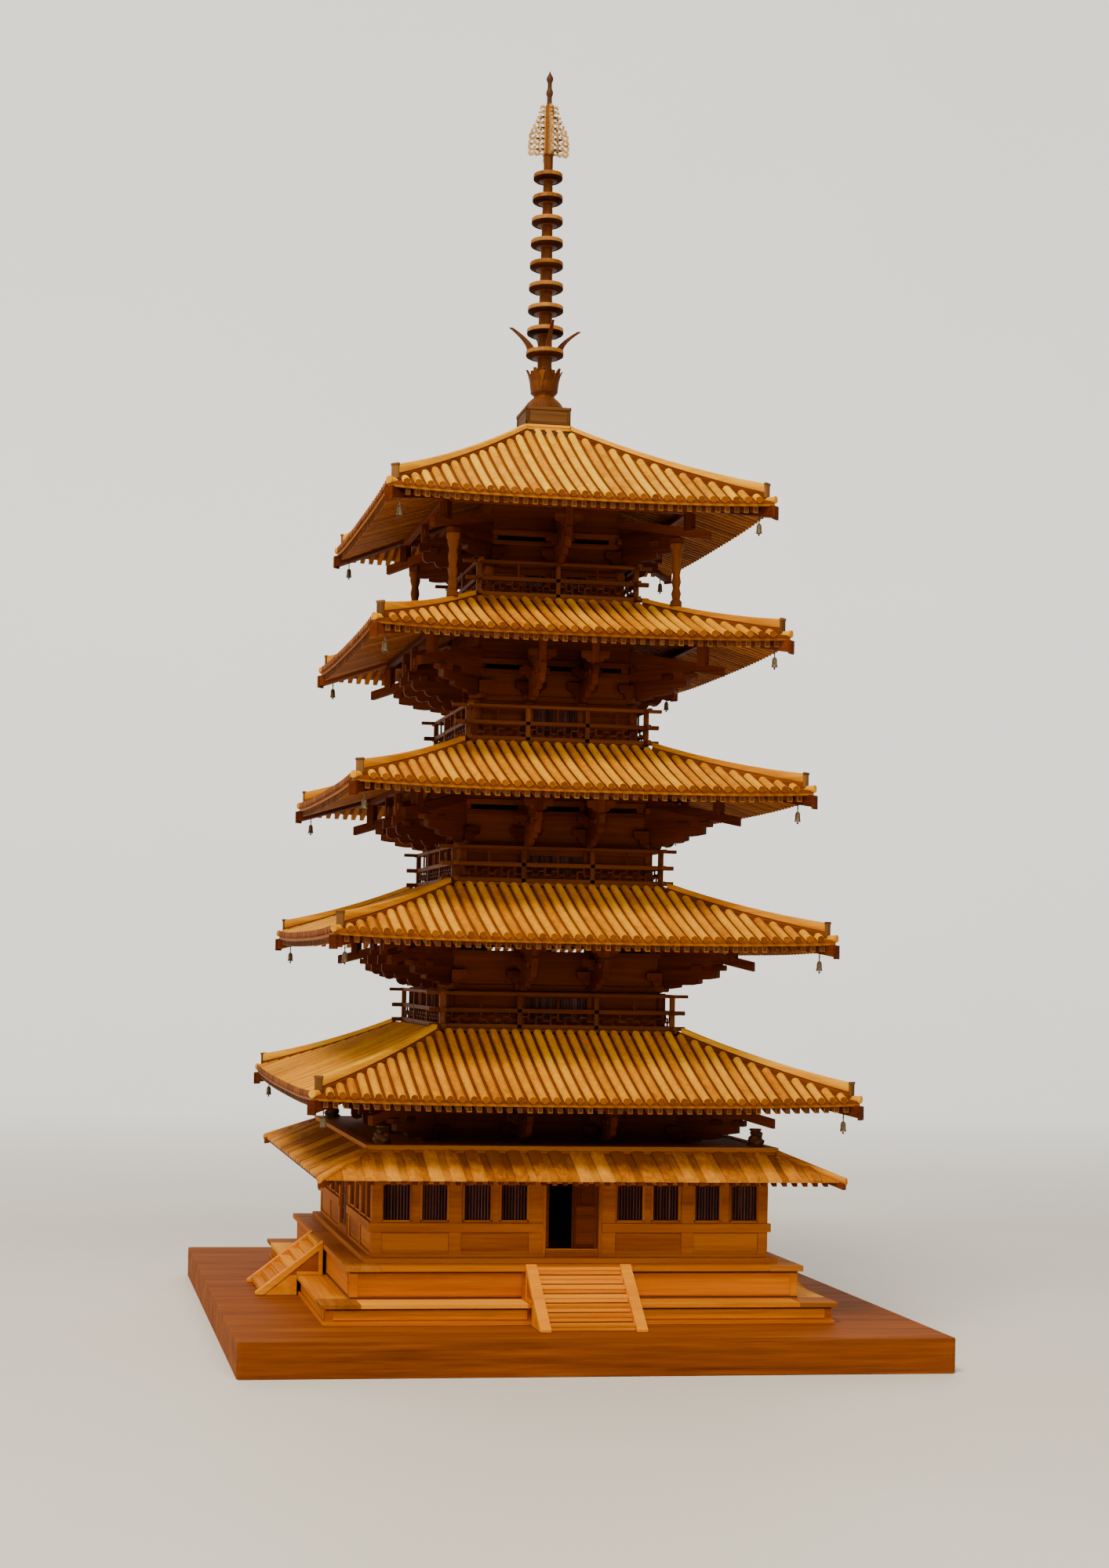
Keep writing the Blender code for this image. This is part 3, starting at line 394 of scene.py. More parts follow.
def addOutline(bm, points, step, axis=0):        # a flat outline cut from a board as thick as step
    face = bm.faces.new([bm.verts.new(p) for p in points])
    moved = pointsOf(bmesh.ops.extrude_face_region(bm, geom=[face]))
    bmesh.ops.translate(bm, vec=step, verts=moved)
    verts = list(face.verts) + moved
    grainAlong(bm, verts, axis)
    return verts


def addTurned(bm, profile, steps, base=0.0):     # (radius, height) points from axis to axis, turned round
    verts = [bm.verts.new((radius, 0, base + z)) for radius, z in profile]
    edges = [bm.edges.new(pair) for pair in zip(verts, verts[1:])]
    before = set(bm.verts) - set(verts)
    bmesh.ops.spin(bm, geom=verts + edges, cent=(0, 0, 0), axis=(0, 0, 1), dvec=(0, 0, 0),
                   angle=2 * math.pi, steps=steps, use_merge=True, use_duplicate=False)
    made = [v for v in bm.verts if v not in before]
    bmesh.ops.remove_doubles(bm, verts=made, dist=1e-6)
    made = [v for v in bm.verts if v not in before]
    grainAlong(bm, made, 2)
    return made


def finishPiece(name, bm, wood, replaces=(), body="pagoda", roundBelow=None):
    bmesh.ops.recalc_face_normals(bm, faces=bm.faces)
    mesh = bpy.data.meshes.new(name)
    bm.to_mesh(mesh)
    bm.free()
    if roundBelow:                               # edges flatter than this angle are shaded round
        mesh.shade_smooth()
        mesh.set_sharp_from_angle(angle=math.radians(roundBelow))
    mesh.materials.append(looks[wood])
    piece = bpy.data.objects.new(name, mesh)
    bpy.context.scene.collection.objects.link(piece)
    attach(piece, body)
    wood != "bell_brass"
    if replaces:
        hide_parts(*replaces)


def finishFour(name, bm, wood, replaces=(), roundBelow=None):       # the same on all four sides
    turnFour(bm)
    finishPiece(name, bm, wood, replaces, roundBelow=roundBelow)


# The frame's own nodes take the wood of their slot, except the storeys' walls, the doors and the spire's box
for entry in frame["record"]["subparts"]:
    node = frame["nodes"][entry["node"]]
    wood = entry["material_slot"]
    if entry["node"].startswith(("storey_", "door")):
        wood = "upper_wall_wood"
    if entry["node"] == "spire_box":
        wood = "box_wood"
    node.data.materials.clear()
    node.data.materials.append(frameLooks[wood])
print("frame nodes finished")


# Storeys, from the frame and from each roof's upper edge (half width, height above the board)
roofTops = ((0.128, 0.2760), (0.112, 0.4250), (0.097, 0.5710), (0.089, 0.7210), (0.025, 0.9110))
slotHeights = (0.036, 0.0405, 0.039, 0.033, 0.0285)         # long vents above each wall's top
tilePitches = (0.0114, 0.0116, 0.0117, 0.0119, 0.0119)      # from one row of round tiles to the next
storeys = []
for number in range(1, 6):
    wallBox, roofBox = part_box(f"storey_{number}_walls"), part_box(f"roof_{number}")
    topHalf, topHeight = roofTops[number - 1]
    wall, bays = wallBox[1].x, 2 if number == 5 else 3
    storeys.append({
        "number": number, "wall": wall, "wallTop": wallBox[1].z,
        "columns": [wall * (2 * k / bays - 1) for k in range(bays + 1)],
        "eave": roofBox[1].x, "eaveLow": roofBox[0].z, "top": topHalf, "topZ": boardTop + topHeight,
        "slot": slotHeights[number - 1], "pitch": tilePitches[number - 1]})

roof = {
    "thick": 0.0060,            # tiles and eave board together, as in the frame
    "curve": 0.15,              # hollow of the slope
    "cornerLift": 0.0040,
    "rafterSlope": 0.30,
    "tileThick": 0.0036,
    "valley": 0.0012,           # the flat tiles lie this much below the frame's surface
    "ribRadius": 0.0037,
    "ribWide": 0.0041,
    "endRadius": 0.0034,
    "overhang": 0.0010,
    "hipWide": 0.0068,
    "hipBaseWide": 0.0078,
    "hipBaseHigh": 0.0016,
    "hipLine": 0.0011,          # painted shadow line between the ridge's two boards
    "hipHigh": 0.0074,
    "hipRise": 0.0062,
    "hipClear": 0.0080,         # the round tiles stop this far short of the middle of the ridge
    "hipEnd": 0.0070,           # the ridge stops this far short of the corner
    "rafterPitch": 0.0098,
    "rafterWide": 0.0048,
    "rafterHigh": 0.0064,
}


def cornerLift(reach, along, v):
    return roof["cornerLift"] * abs(along / reach) ** 3 * max(0.0, 1 - v) ** 1.5


def roofHeight(storey, reach, along):            # upper face of the tiles
    start = storey["eaveLow"] + roof["thick"]
    v = (storey["eave"] - reach) / (storey["eave"] - storey["top"])
    slope = (1 - roof["curve"]) * v + roof["curve"] * v * v
    return start + (storey["topZ"] - start) * slope + cornerLift(reach, along, v)


def rafterHeight(storey, reach, along):          # upper face of the rafters
    v = (storey["eave"] - reach) / (storey["eave"] - storey["wall"])
    return storey["eaveLow"] + roof["rafterSlope"] * (storey["eave"] - reach) + cornerLift(reach, along, v)


# Patterns that the pieces below are copied from
rib = rodPattern(8, 6)
tileEnd = rodPattern(10)
wallPost = rodPattern(12)
stud = rodPattern(8)
upperBoard = rodPattern(10)
straightBar = barPattern()
slopeBar = barPattern(3)
hipBar = barPattern(8, 0.10)


def sideSheet(outer, inner, rise):               # a sheet over one side, from the outer to the inner reach
    def place(a, b):
        reach = blend(outer, inner, b)
        along = (2 * a - 1) * reach
        return Vector((along, -reach, rise(reach, along)))
    return place


def rowsOver(outer, inner, pitch, clear, least):  # middle and inner end of each row that is long enough
    count = int(outer / pitch)
    for k in range(-count, count + 1):
        end = max(inner, abs(k * pitch) + clear)
        if outer - end >= least:
            yield k * pitch, end


def levelRod(x, y, z, radius, length):           # a rod that runs backwards from its front end
    return lambda co: Vector((x + co.x * radius, y + co.y * length, z + co.z * radius))


def hungBar(x, start, end, wide, high, topAt, stretch=1.0, wall=0.0):      # its upper face follows topAt
    def place(co):
        reach = blend(start, end, co.y)
        return Vector((x + co.x * wide, -wall - reach * stretch, topAt(reach) + (co.z - 0.5) * high))
    return place


def innerRidge(storey):                          # where the hip ridge meets the balcony or the crown
    if storey["number"] == 5:
        return storey["top"] + 0.0010
    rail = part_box(f"balcony_{storey['number'] + 1}")[1].x - 0.0165
    return max(storey["top"] + 0.0010, rail + 0.0066)


def makeTiles(storey):
    number, eave, top = storey["number"], storey["eave"], storey["top"]
    bm = newMesh()
    # The flat tiles between the round tiles are painted in shade
    valleys = sideSheet(eave, top, lambda reach, along: roofHeight(storey, reach, along) - roof["valley"])
    addSheet(bm, 24, 10, valleys, roof["tileThick"] - roof["valley"], axis=1)
    finishFour(f"roof_{number}_valleys", bm, "valley_painted_shade_wood", [f"roof_{number}"], roundBelow=50)
    bm, ends = newMesh(), newMesh()
    outer = eave + roof["overhang"]
    for x, inner in rowsOver(outer, top, storey["pitch"], roof["hipClear"], 0.006):
        def ribPoint(co):
            reach = blend(outer, inner, co.y)
            along = x + co.x * roof["ribWide"]
            deep = co.z if co.z > 0 else co.z * 0.45
            return Vector((along, -reach, roofHeight(storey, reach, along) + deep * roof["ribRadius"]))

        addCopy(bm, rib, ribPoint)
        z = roofHeight(storey, outer, x) + 0.0004
        addCopy(ends, tileEnd, levelRod(x, -outer - 0.0008, z, roof["endRadius"], 0.0022))
    wood = "top_roof_wood" if number == 5 else "roof_wood"
    finishFour(f"roof_{number}_tiles", bm, wood, roundBelow=50)
    # The tile ends are painted in shade, darker than the round tiles
    finishFour(f"roof_{number}_tile_ends", ends, "tile_end_painted_shade_wood", roundBelow=40)
    bm = newMesh()
    outer = eave - 0.0004
    board = sideSheet(outer, outer - 0.0110, lambda reach, along: roofHeight(storey, reach, along) - 0.0021)
    addSheet(bm, 24, 1, board, 0.0042)
    finishFour(f"roof_{number}_eave", bm, "eave_wood", roundBelow=40)


def makeRidges(storey):
    number, eave = storey["number"], storey["eave"]
    outer, inner = eave - roof["hipEnd"], innerRidge(storey)
    bm = newMesh()

    def hipPoint(wide, low, high, start, end, lowShare, highShare):
        def place(co):
            reach = blend(start, end, co.y)
            fade = max(0.0, (reach - inner) / (outer - inner))
            z = roofHeight(storey, reach, reach) + blend(low, high, co.z + 0.5)
            share = blend(lowShare, highShare, co.z + 0.5)
            return Vector((co.x * wide, -reach * root2, z + roof["hipRise"] * fade ** 2 * share))
        return place

    base, line = roof["hipBaseHigh"], roof["hipLine"]
    addCopy(bm, hipBar, hipPoint(roof["hipWide"], base + line, roof["hipHigh"], outer, inner, 0.3, 1.0))
    # The ridge's foot and the line under its upper board are painted in shade
    foot = newMesh()
    narrow = roof["hipWide"] - 0.0012
    addCopy(foot, hipBar, hipPoint(roof["hipBaseWide"], -0.0030, base, outer, inner, 0.0, 0.3))
    addCopy(foot, hipBar, hipPoint(narrow, base - 0.0004, base + line + 0.0004, outer, inner, 0.3, 0.3))
    turn(foot, foot.verts, 45)
    finishFour(f"roof_{number}_ridge_feet", foot, "valley_painted_shade_wood")
    # The last stretch, past the end plate, is one round tile with its own end
    tip = eave + roof["overhang"] * 0.6
    z = roofHeight(storey, eave, eave) + 0.0002
    for radius, start, end in ((0.0034, tip - 0.0010, outer - 0.002), (0.0038, tip, tip - 0.0016)):
        addCopy(bm, tileEnd, levelRod(0, -start * root2, z, radius, (start - end) * root2))
    turn(bm, bm.verts, 45)
    # The ridges are painted paler for the light from above
    finishFour(f"roof_{number}_ridges", bm, "ridge_painted_light_wood", roundBelow=40)

    # End plates: a small board across each ridge, with a narrow cap
    bm = newMesh()
    y, z = -outer * root2, roofHeight(storey, outer, outer)
    top = z + roof["hipHigh"] + roof["hipRise"] + 0.0008
    addBar(bm, (-0.0042, y - 0.0018, z - 0.0005), (0.0042, y + 0.0008, top), 0.0004)
    addBar(bm, (-0.0048, y - 0.0022, top - 0.0022), (0.0048, y + 0.0010, top + 0.0004), 0.0004)
    turn(bm, bm.verts, 45)
    finishFour(f"roof_{number}_ridge_ends", bm, "ridge_end_wood")


def makeEaves(storey):
    number, eave, wall = storey["number"], storey["eave"], storey["wall"]
    bm, ends = newMesh(), newMesh()
    boards = sideSheet(eave - 0.0050, wall - 0.001, lambda reach, along: rafterHeight(storey, reach, along))
    addSheet(bm, 16, 4, boards, 0.0012)
    outer = eave - 0.0032
    for x, inner in rowsOver(outer, wall, roof["rafterPitch"], 0.0045, 0.004):
        rafter = hungBar(x, outer, inner, roof["rafterWide"], roof["rafterHigh"],
                         lambda reach: rafterHeight(storey, reach, x) - 0.0008)
        addCopy(bm, slopeBar, rafter)
        foot = rafter(Vector((0, 0, -0.5)))
        addBar(ends, (x - 0.0017, foot.y - 0.0004, foot.z + 0.0012),
               (x + 0.0017, foot.y + 0.0004, foot.z + 0.0052))
    # Board that closes the gaps between the rafters over the wall
    under = rafterHeight(storey, wall, 0) - 0.0008
    addBar(bm, (-wall, -wall - 0.0030, under - roof["rafterHigh"]), (wall, -wall - 0.0014, under + 0.0002))
    # The rafters' end faces: darker end grain with a painted lilac sheen
    finishFour(f"eaves_{number}_rafter_ends", ends, "rafter_end_grain_and_sheen_wood")
    # The rafters take a paler wood: painted light on the eaves' underside
    finishFour(f"eaves_{number}_rafters", bm, "rafter_painted_light_wood", [f"eaves_{number}"])
    # Corner rafter with its end board
    bm = newMesh()
    for wide, high, start, end in ((0.0076, 0.0118, eave + 0.0004, wall),
                                   (0.0090, 0.0135, eave + 0.0012, eave - 0.0006)):
        rafter = hungBar(0, start, end, wide, high, lambda reach: rafterHeight(
            storey, min(reach, eave), min(reach, eave)) - 0.0004, root2)
        turn(bm, addCopy(bm, slopeBar, rafter), 45)
    finishFour(f"eaves_{number}_corner_rafters", bm, "bracket_wood")


def cloudOutline(lobes, top, back):              # lower edge of round lobes under a straight top edge
    points = [(back, top), (lobes[0][0] + lobes[0][2], top)]
    for centre, height, radius in lobes:
        for step in range(5):
            angle = math.radians(-4 - 30 * step)
            points.append((centre + radius * math.cos(angle), height + radius * math.sin(angle)))
    points.append((back, lobes[-1][1] - lobes[-1][2]))
    return points


bracket = {                     # lobes are given as reach, height and radius
    "arm": ((0.0540, 0.0190, 0.0058), (0.0400, 0.0150, 0.0068), (0.0250, 0.0100, 0.0078),
            (0.0120, 0.0060, 0.0058)),
    "armTop": 0.0245,
    "armThick": 0.0058,
    "sideLow": ((0.0122, 0.0160, 0.0042), (0.0058, 0.0118, 0.0052)),
    "sideLowTop": 0.0205,
    "sideHigh": ((0.0118, 0.0290, 0.0038), (0.0056, 0.0262, 0.0044)),
    "sideHighTop": 0.0330,
    "cornerArm": ((-0.0030, 0.0245), (0.0660, 0.0245), (0.0660, 0.0168), (0.0560, 0.0152), (0.0465, 0.0148),
                  (0.0465, 0.0106), (0.0360, 0.0090), (0.0240, 0.0086), (0.0236, 0.0062), (0.0100, 0.0044),
                  (-0.0030, 0.0044)),
    "cornerTips": ((0.0660, 0.0170, 0.0243), (0.0465, 0.0110, 0.0160)),
    "block": 0.0068,            # half width of the block on each column
    "tailWide": 0.0060,
    "tailHigh": 0.0095,
    "tailTop": 0.0335,          # upper edge of a tail beam's outer end, above the wall
    "tailSlope": 0.30,
    "tailReach": 0.0640,
    "cornerTailReach": 0.0750,
    "slotHigh": 0.0052,
}


def addTail(bm, x, wall, base, reach, stretch=1.0):        # tail beam, the web and the blocks under it
    wide, high = bracket["tailWide"], bracket["tailHigh"]

    def topAt(d):
        return base + bracket["tailTop"] + (reach - d) * bracket["tailSlope"]

    verts = addCopy(bm, straightBar, hungBar(x, reach, -0.002, wide, high, topAt, stretch, wall))
    low = base + bracket["armTop"] - 0.0004
    web = [(-0.002, low), (0.0500, low)]
    web += [(d, topAt(d) - high + 0.0010) for d in (0.0500, -0.002)]
    verts += addOutline(bm, [(x - 0.0022, -wall - d * stretch, z) for d, z in web], (0.0044, 0, 0), axis=1)
    for d, half in ((0.0300, 0.0042), (0.0480, 0.0046)):
        verts += addBar(bm, (x - half, -wall - (d + 0.0046) * stretch, low),
                        (x + half, -wall - (d - 0.0046) * stretch, low + 0.0060), 0.0010)
    return verts


def addCloud(bm, x, y, base, lobes, top, inward=0):        # arm along the wall, lobed on one or both sides
    half = cloudOutline(lobes, top, 0.0)
    if inward:
        outline = [(inward * d, z) for d, z in half]
    else:
        outline = half[1:-1] + [(-d, z) for d, z in reversed(half[1:-1])]
    return addOutline(bm, [(x + d, y, base + z) for d, z in outline], (0, 0.0044, 0), axis=0)


def makeBracketBoards(storey):                   # wall between the wall top and the rafters, with long vents
    number, wall, base = storey["number"], storey["wall"], storey["wallTop"]
    bm = newMesh()
    under = roofHeight(storey, wall, 0) - roof["thick"] - 0.0005
    slotLow = base + storey["slot"]
    slotHigh = slotLow + bracket["slotHigh"]
    back = -wall + 0.0045

    def board(front, low, high, chamfer=0.0):
        addBar(bm, (-wall - front, -wall - front, low), (wall - 0.0045, back, high), chamfer)

    board(0.0018, base, base + 0.0058, 0.0004)
    board(-0.0004, base + 0.0058, slotLow - 0.0050)
    board(0.0014, slotLow - 0.0050, slotLow, 0.0004)
    board(0.0014, slotHigh, slotHigh + 0.0056, 0.0004)
    board(-0.0004, slotHigh + 0.0056, under)
    for x in storey["columns"][:-1]:
        addBar(bm, (x - 0.0075, -wall, slotLow), (x + 0.0075, back, slotHigh))
    addBar(bm, (wall - 0.0120, -wall, slotLow), (wall - 0.0045, back, slotHigh))
    finishFour(f"brackets_{number}_boards", bm, "upper_wall_wood", [f"brackets_{number}"])


def makeBrackets(storey):
    number, wall, base = storey["number"], storey["wall"], storey["wallTop"]
    columns, block, thick = storey["columns"], bracket["block"], bracket["armThick"]
    foot = base + (0.0060 if number == 1 else 0.0010)    # the first ring stands behind the skirt roof's deck
    # Block, cloud-shaped arms and tail beam on every column
    bm = newMesh()
    for x in columns[1:-1]:
        addBar(bm, (x - block, -wall - block, foot), (x + block, -wall, foot + 0.0065), 0.0012)
        outline = cloudOutline(bracket["arm"], bracket["armTop"], -0.003)
        addOutline(bm, [(x - thick / 2, -wall - d, base + z) for d, z in outline], (thick, 0, 0), axis=1)
        addTail(bm, x, wall, base, bracket["tailReach"])
        addCloud(bm, x, -wall - 0.0240, base, bracket["sideHigh"], bracket["sideHighTop"])
        addCloud(bm, x, -wall - 0.0600, base, [(d * 0.9, z + 0.0140, r) for d, z, r in bracket["sideHigh"]],
                 bracket["sideHighTop"] + 0.0140)
    for x in columns:
        inward = 0 if abs(x) < wall * 0.9 else math.copysign(1, -x)
        addCloud(bm, x, -wall - 0.0068, base, bracket["sideLow"], bracket["sideLowTop"], inward)
    # Corner: larger arm and tail on the diagonal
    start = wall * root2
    corner = addBar(bm, (-0.0080, -start - 0.0065, foot), (0.0080, -start + 0.0075, foot + 0.0068), 0.0012)
    corner += addOutline(bm, [(-thick / 2, -start - d, base + z) for d, z in bracket["cornerArm"]],
                         (thick, 0, 0), axis=1)
    tips = newMesh()
    for d, low, high in bracket["cornerTips"]:
        addBar(tips, (-0.0032, -start - d - 0.0008, base + low), (0.0032, -start - d + 0.0006, base + high))
    turn(tips, tips.verts, 45)
    # The arms' end faces: darker end grain with a painted lilac sheen
    finishFour(f"brackets_{number}_tips", tips, "rafter_end_grain_and_sheen_wood")
    corner += addTail(bm, 0.0, start, base, bracket["cornerTailReach"], root2)
    turn(bm, corner, 45)
    # Purlin under the rafters, with a short post on each tail beam
    reach = wall + 0.0580
    top = rafterHeight(storey, reach + 0.004, 0) - roof["rafterHigh"] - 0.0006
    addBar(bm, (-reach - 0.0120, -reach - 0.0032, top - 0.0064),
           (reach - 0.0033, -reach + 0.0032, top), 0.0004)
    for x in columns[1:-1]:
        addPost(bm, x, -reach, 0.0036, base + 0.0340, top - 0.0060, 0.0006)
    turn(bm, addPost(bm, 0, -reach * root2, 0.0046, base + 0.0360, top - 0.0060, 0.0006), 45)
    finishFour(f"brackets_{number}_arms", bm, "bracket_wood")


for storey in storeys:
    makeTiles(storey)
    makeRidges(storey)
    makeEaves(storey)
    makeBracketBoards(storey)
    makeBrackets(storey)
print("roofs, eaves and brackets built")

# Balconies: crossing rails, posts and the fretwork between them
balcony = {
    "levels": (0.0054, 0.0214, 0.0385),     # middles of the rails above the roof's upper edge
    "reach": (0.0135, 0.0135, 0.0165),      # ends past the corner posts
    "rail": 0.0044,
    "post": 0.0048,
    "floor": 0.0030,
    "cell": 0.0142,                         # width of one turn of the fret
    "bar": 0.0014,
    "deep": 0.0016,
}


def makeBalcony(storey):
    number, wall = storey["number"], storey["wall"]
    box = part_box(f"balcony_{number}")
    line, base = box[1].x - balcony["reach"][2], box[0].z
    rail, half = balcony["rail"] / 2, balcony["bar"] / 2
    posts = (-line, 0.0, line) if number == 5 else (-line, -line / 3, line / 3, line)
    bm = newMesh()
    heights = [base + level for level in balcony["levels"]]
    for z, reach, high in zip(heights, balcony["reach"], (rail, rail, rail * 0.8)):
        addBar(bm, (-line - reach, -line - rail, z - high), (line + reach, -line + rail, z + high), 0.0004)
    for x in posts[:-1]:
        short = 0.0 if x == -line else 1.0       # the posts between the corners are a little smaller
        wide = balcony["post"] / 2 - 0.0002 * short
        addPost(bm, x, -line, wide, base + 0.0002, heights[2] - 0.0010 * short)
    wide = line + balcony["post"] / 2 + 0.0003
    addBar(bm, (-wide, -wide, base), (wall + 0.0003, -wall - 0.0003, base + balcony["floor"]))
    finishFour(f"balcony_{number}_rails", bm, "rail_wood", [f"balcony_{number}"])
    low, high = heights[0] + rail, heights[1] - rail
    third = (high - low) / 3
    bm = newMesh()
    front, back = -line - balcony["deep"] / 2, -line + balcony["deep"] / 2
    for left, right in zip(posts, posts[1:]):
        left, right = left + 0.0022, right - 0.0022
        cells = max(3, round((right - left) / balcony["cell"]))
        wide = (right - left) / cells
        for k in range(cells):
            x = left + wide * k
            middle, end = x + wide / 2, x + wide
            if k:
                addBar(bm, (x - half, front, low), (x + half, back, low + 2 * third))
            addBar(bm, (x, front, low + 2 * third - half), (middle, back, low + 2 * third + half))
            addBar(bm, (middle - half, front, low + third), (middle + half, back, high))
            addBar(bm, (middle, front, low + third - half), (end, back, low + third + half))
        addPost(bm, (left + right) / 2, -line, 0.0009, heights[1] + rail, heights[2] - rail * 0.8)
    finishFour(f"balcony_{number}_fret", bm, "bracket_wood")


# Walls of the upper storeys: round posts, then frames and bars of the windows (middle and half width)
windows = ((), ((0.0, 0.034),), ((0.0, 0.031),), ((0.0, 0.026),), ((-0.022, 0.012), (0.022, 0.012)))


def makeStoreyTrim(storey):
    number, wall = storey["number"], storey["wall"]
    base, top = storeys[number - 2]["topZ"], storey["wallTop"]
    foot = base + 0.0036
    low, high = base + 0.0100, top - 0.0060
    bm = newMesh()
    for x in storey["columns"][:-1]:
        addCopy(bm, wallPost, lambda co: Vector((x + co.x * 0.0048, co.z * 0.0048 - wall - 0.0008,
                                                 blend(foot, top - 0.0004, co.y))), axis=2)
    addBar(bm, (-wall - 0.0022, -wall - 0.0022, top - 0.0056), (wall, -wall, top - 0.0004), 0.0003)
    addBar(bm, (-wall - 0.0018, -wall - 0.0018, foot), (wall, -wall, foot + 0.0050), 0.0003)
    for middle, half in windows[number - 1]:
        for side in (-1, 1):
            x = middle + side * half
            addBar(bm, (x - 0.0013, -wall - 0.0012, low), (x + 0.0013, -wall + 0.0030, high))
        reach = half + 0.0013
        for bottom, upper in ((low - 0.0010, low + 0.0012), (high - 0.0012, high + 0.0010)):
            addBar(bm, (middle - reach, -wall - 0.0014, bottom), (middle + reach, -wall + 0.0030, upper))
    finishFour(f"storey_{number}_posts", bm, "upper_wall_wood", roundBelow=40)
    bm = newMesh()
    for middle, half in windows[number - 1]:
        bars = round(2 * half / 0.0029)
        for k in range(1, bars):
            x = middle - half + 2 * half * k / bars
            bar = addBar(bm, (x - 0.0011, -wall + 0.0015, low), (x + 0.0011, -wall + 0.0036, high))
            turn(bm, bar, 45, (x, -wall + 0.0024, 0))
    # The bars' wood is dark, with a painted lilac sheen
    finishFour(f"storey_{number}_window_bars", bm, "window_bar_dark_and_sheen_wood")


for storey in storeys[1:]:
    makeStoreyTrim(storey)
    makeBalcony(storey)
print("balconies and upper walls built")

# Outer wall of the ground storey: window bars, frames and the trim of the doors
skirt = {
    "face": 0.1981,             # outer face of the wall, from the middle of the model
    "windows": ((0.0445, 0.0720), (0.0810, 0.1085), (0.1240, 0.1505), (0.1610, 0.1890)),
    "windowLow": 0.0930,
    "windowHigh": 0.1300,
    "barPitch": 0.0030,
    "barHalf": 0.0006,
    "doorLow": 0.0660,
    "doorHigh": 0.1300,
    "leafFront": 0.1968,
    "hinge": 0.0260,            # from the middle of the doorway
    "hingeLine": 0.1933,
}


def makeWindowBars():
    bm = newMesh()
    low, high = boardTop + skirt["windowLow"], boardTop + skirt["windowHigh"]
    y, half = -skirt["face"] + 0.0030, skirt["barHalf"]
    for left, right in skirt["windows"]:
        bars = round((right - left) / skirt["barPitch"])
        for side in (-1, 1):
            for k in range(1, bars):
                x = side * (left + (right - left) * k / bars)
                turn(bm, addPost(bm, x, y, half, low, high), 45, (x, y, 0))
    # The bars' wood is dark, with a painted lilac sheen
    finishFour("skirt_window_bars", bm, "window_bar_dark_and_sheen_wood")


def makeSkirtTrim():
    bm = newMesh()
    low, high = boardTop + skirt["windowLow"], boardTop + skirt["windowHigh"]
    front, back = -skirt["face"] - 0.0007, -skirt["face"] + 0.0020
    for side in (-1, 1):
        for left, right in skirt["windows"]:
            a, b = sorted((side * left, side * right))
            for z in (low, high):
                addBar(bm, (a - 0.0010, front, z - 0.0012), (b + 0.0010, back, z + 0.0012))
            addBar(bm, (a - 0.0012, front, low), (a + 0.0009, back, high))
            addBar(bm, (b - 0.0009, front, low), (b + 0.0012, back, high))
        # Door jamb, and plain boards below the sill rail
        addRaised(bm, (side * 0.0267, -0.2003, 0.0614), (side * 0.0297, -0.1950, 0.1340), 0.0003)
        for left, right in ((0.0436, 0.1108), (0.1232, 0.1893)):
            addRaised(bm, (side * left, -skirt["face"] - 0.0005, 0.0640),
                      (side * right, -0.1960, 0.0815), 0.0003)
    # Door head and threshold
    addRaised(bm, (-0.0300, -0.2006, 0.1303), (0.0300, -0.1950, 0.1350), 0.0003)
    addRaised(bm, (-0.0264, -0.2003, 0.0580), (0.0264, -0.1972, 0.0655), 0.0003)
    finishFour("skirt_frames", bm, "wall_wood")


def addLeafTrim(bm, side):                       # rails, studs and small barred light on a shut leaf
    front, face = -skirt["leafFront"] - 0.0006, -skirt["leafFront"] + 0.0004
    low, high = boardTop + skirt["doorLow"] + 0.0010, boardTop + skirt["doorHigh"] - 0.0010
    hinge = side * skirt["hinge"]
    a, b = sorted((hinge - side * 0.0006, hinge - side * 0.0248))
    verts = []
    for x in (a, b - 0.0030):
        verts += addBar(bm, (x, front, low), (x + 0.0030, face, high), 0.0002)
    for z, tall in ((low, 0.0034), (low + 0.0150, 0.0030), (low + 0.0290, 0.0030), (low + 0.0405, 0.0030),
                    (high - 0.0032, 0.0032)):
        verts += addBar(bm, (a + 0.0030, front, z), (b - 0.0030, face, z + tall), 0.0002)
    for k in range(6):
        x = blend(a + 0.0046, b - 0.0046, k / 5)
        verts += addBar(bm, (x - 0.0006, front, low + 0.0435), (x + 0.0006, face, high - 0.0032))
    for z in (low + 0.0165, low + 0.0305, low + 0.0420):
        for x in (a + 0.0015, b - 0.0015):
            verts += addCopy(bm, stud, levelRod(x, front - 0.0004, z, 0.0009, 0.0008))
    return verts


def makeDoors():
    bm = newMesh()
    for angle in (90, 180, 270):
        turn(bm, addLeafTrim(bm, -1) + addLeafTrim(bm, 1), angle)
    finishPiece("doors_trim", bm, "bracket_wood")
    bm = newMesh()
    addLeafTrim(bm, 1)
    finishPiece("door_right_trim", bm, "bracket_wood", body="door_right")
    bm = newMesh()                               # the left leaf stands open at rest
    turn(bm, addLeafTrim(bm, -1), 90, (-skirt["hinge"], -skirt["hingeLine"], 0))
    finishPiece("door_left_trim", bm, "bracket_wood", body="door_left")


makeWindowBars()
makeSkirtTrim()
makeDoors()

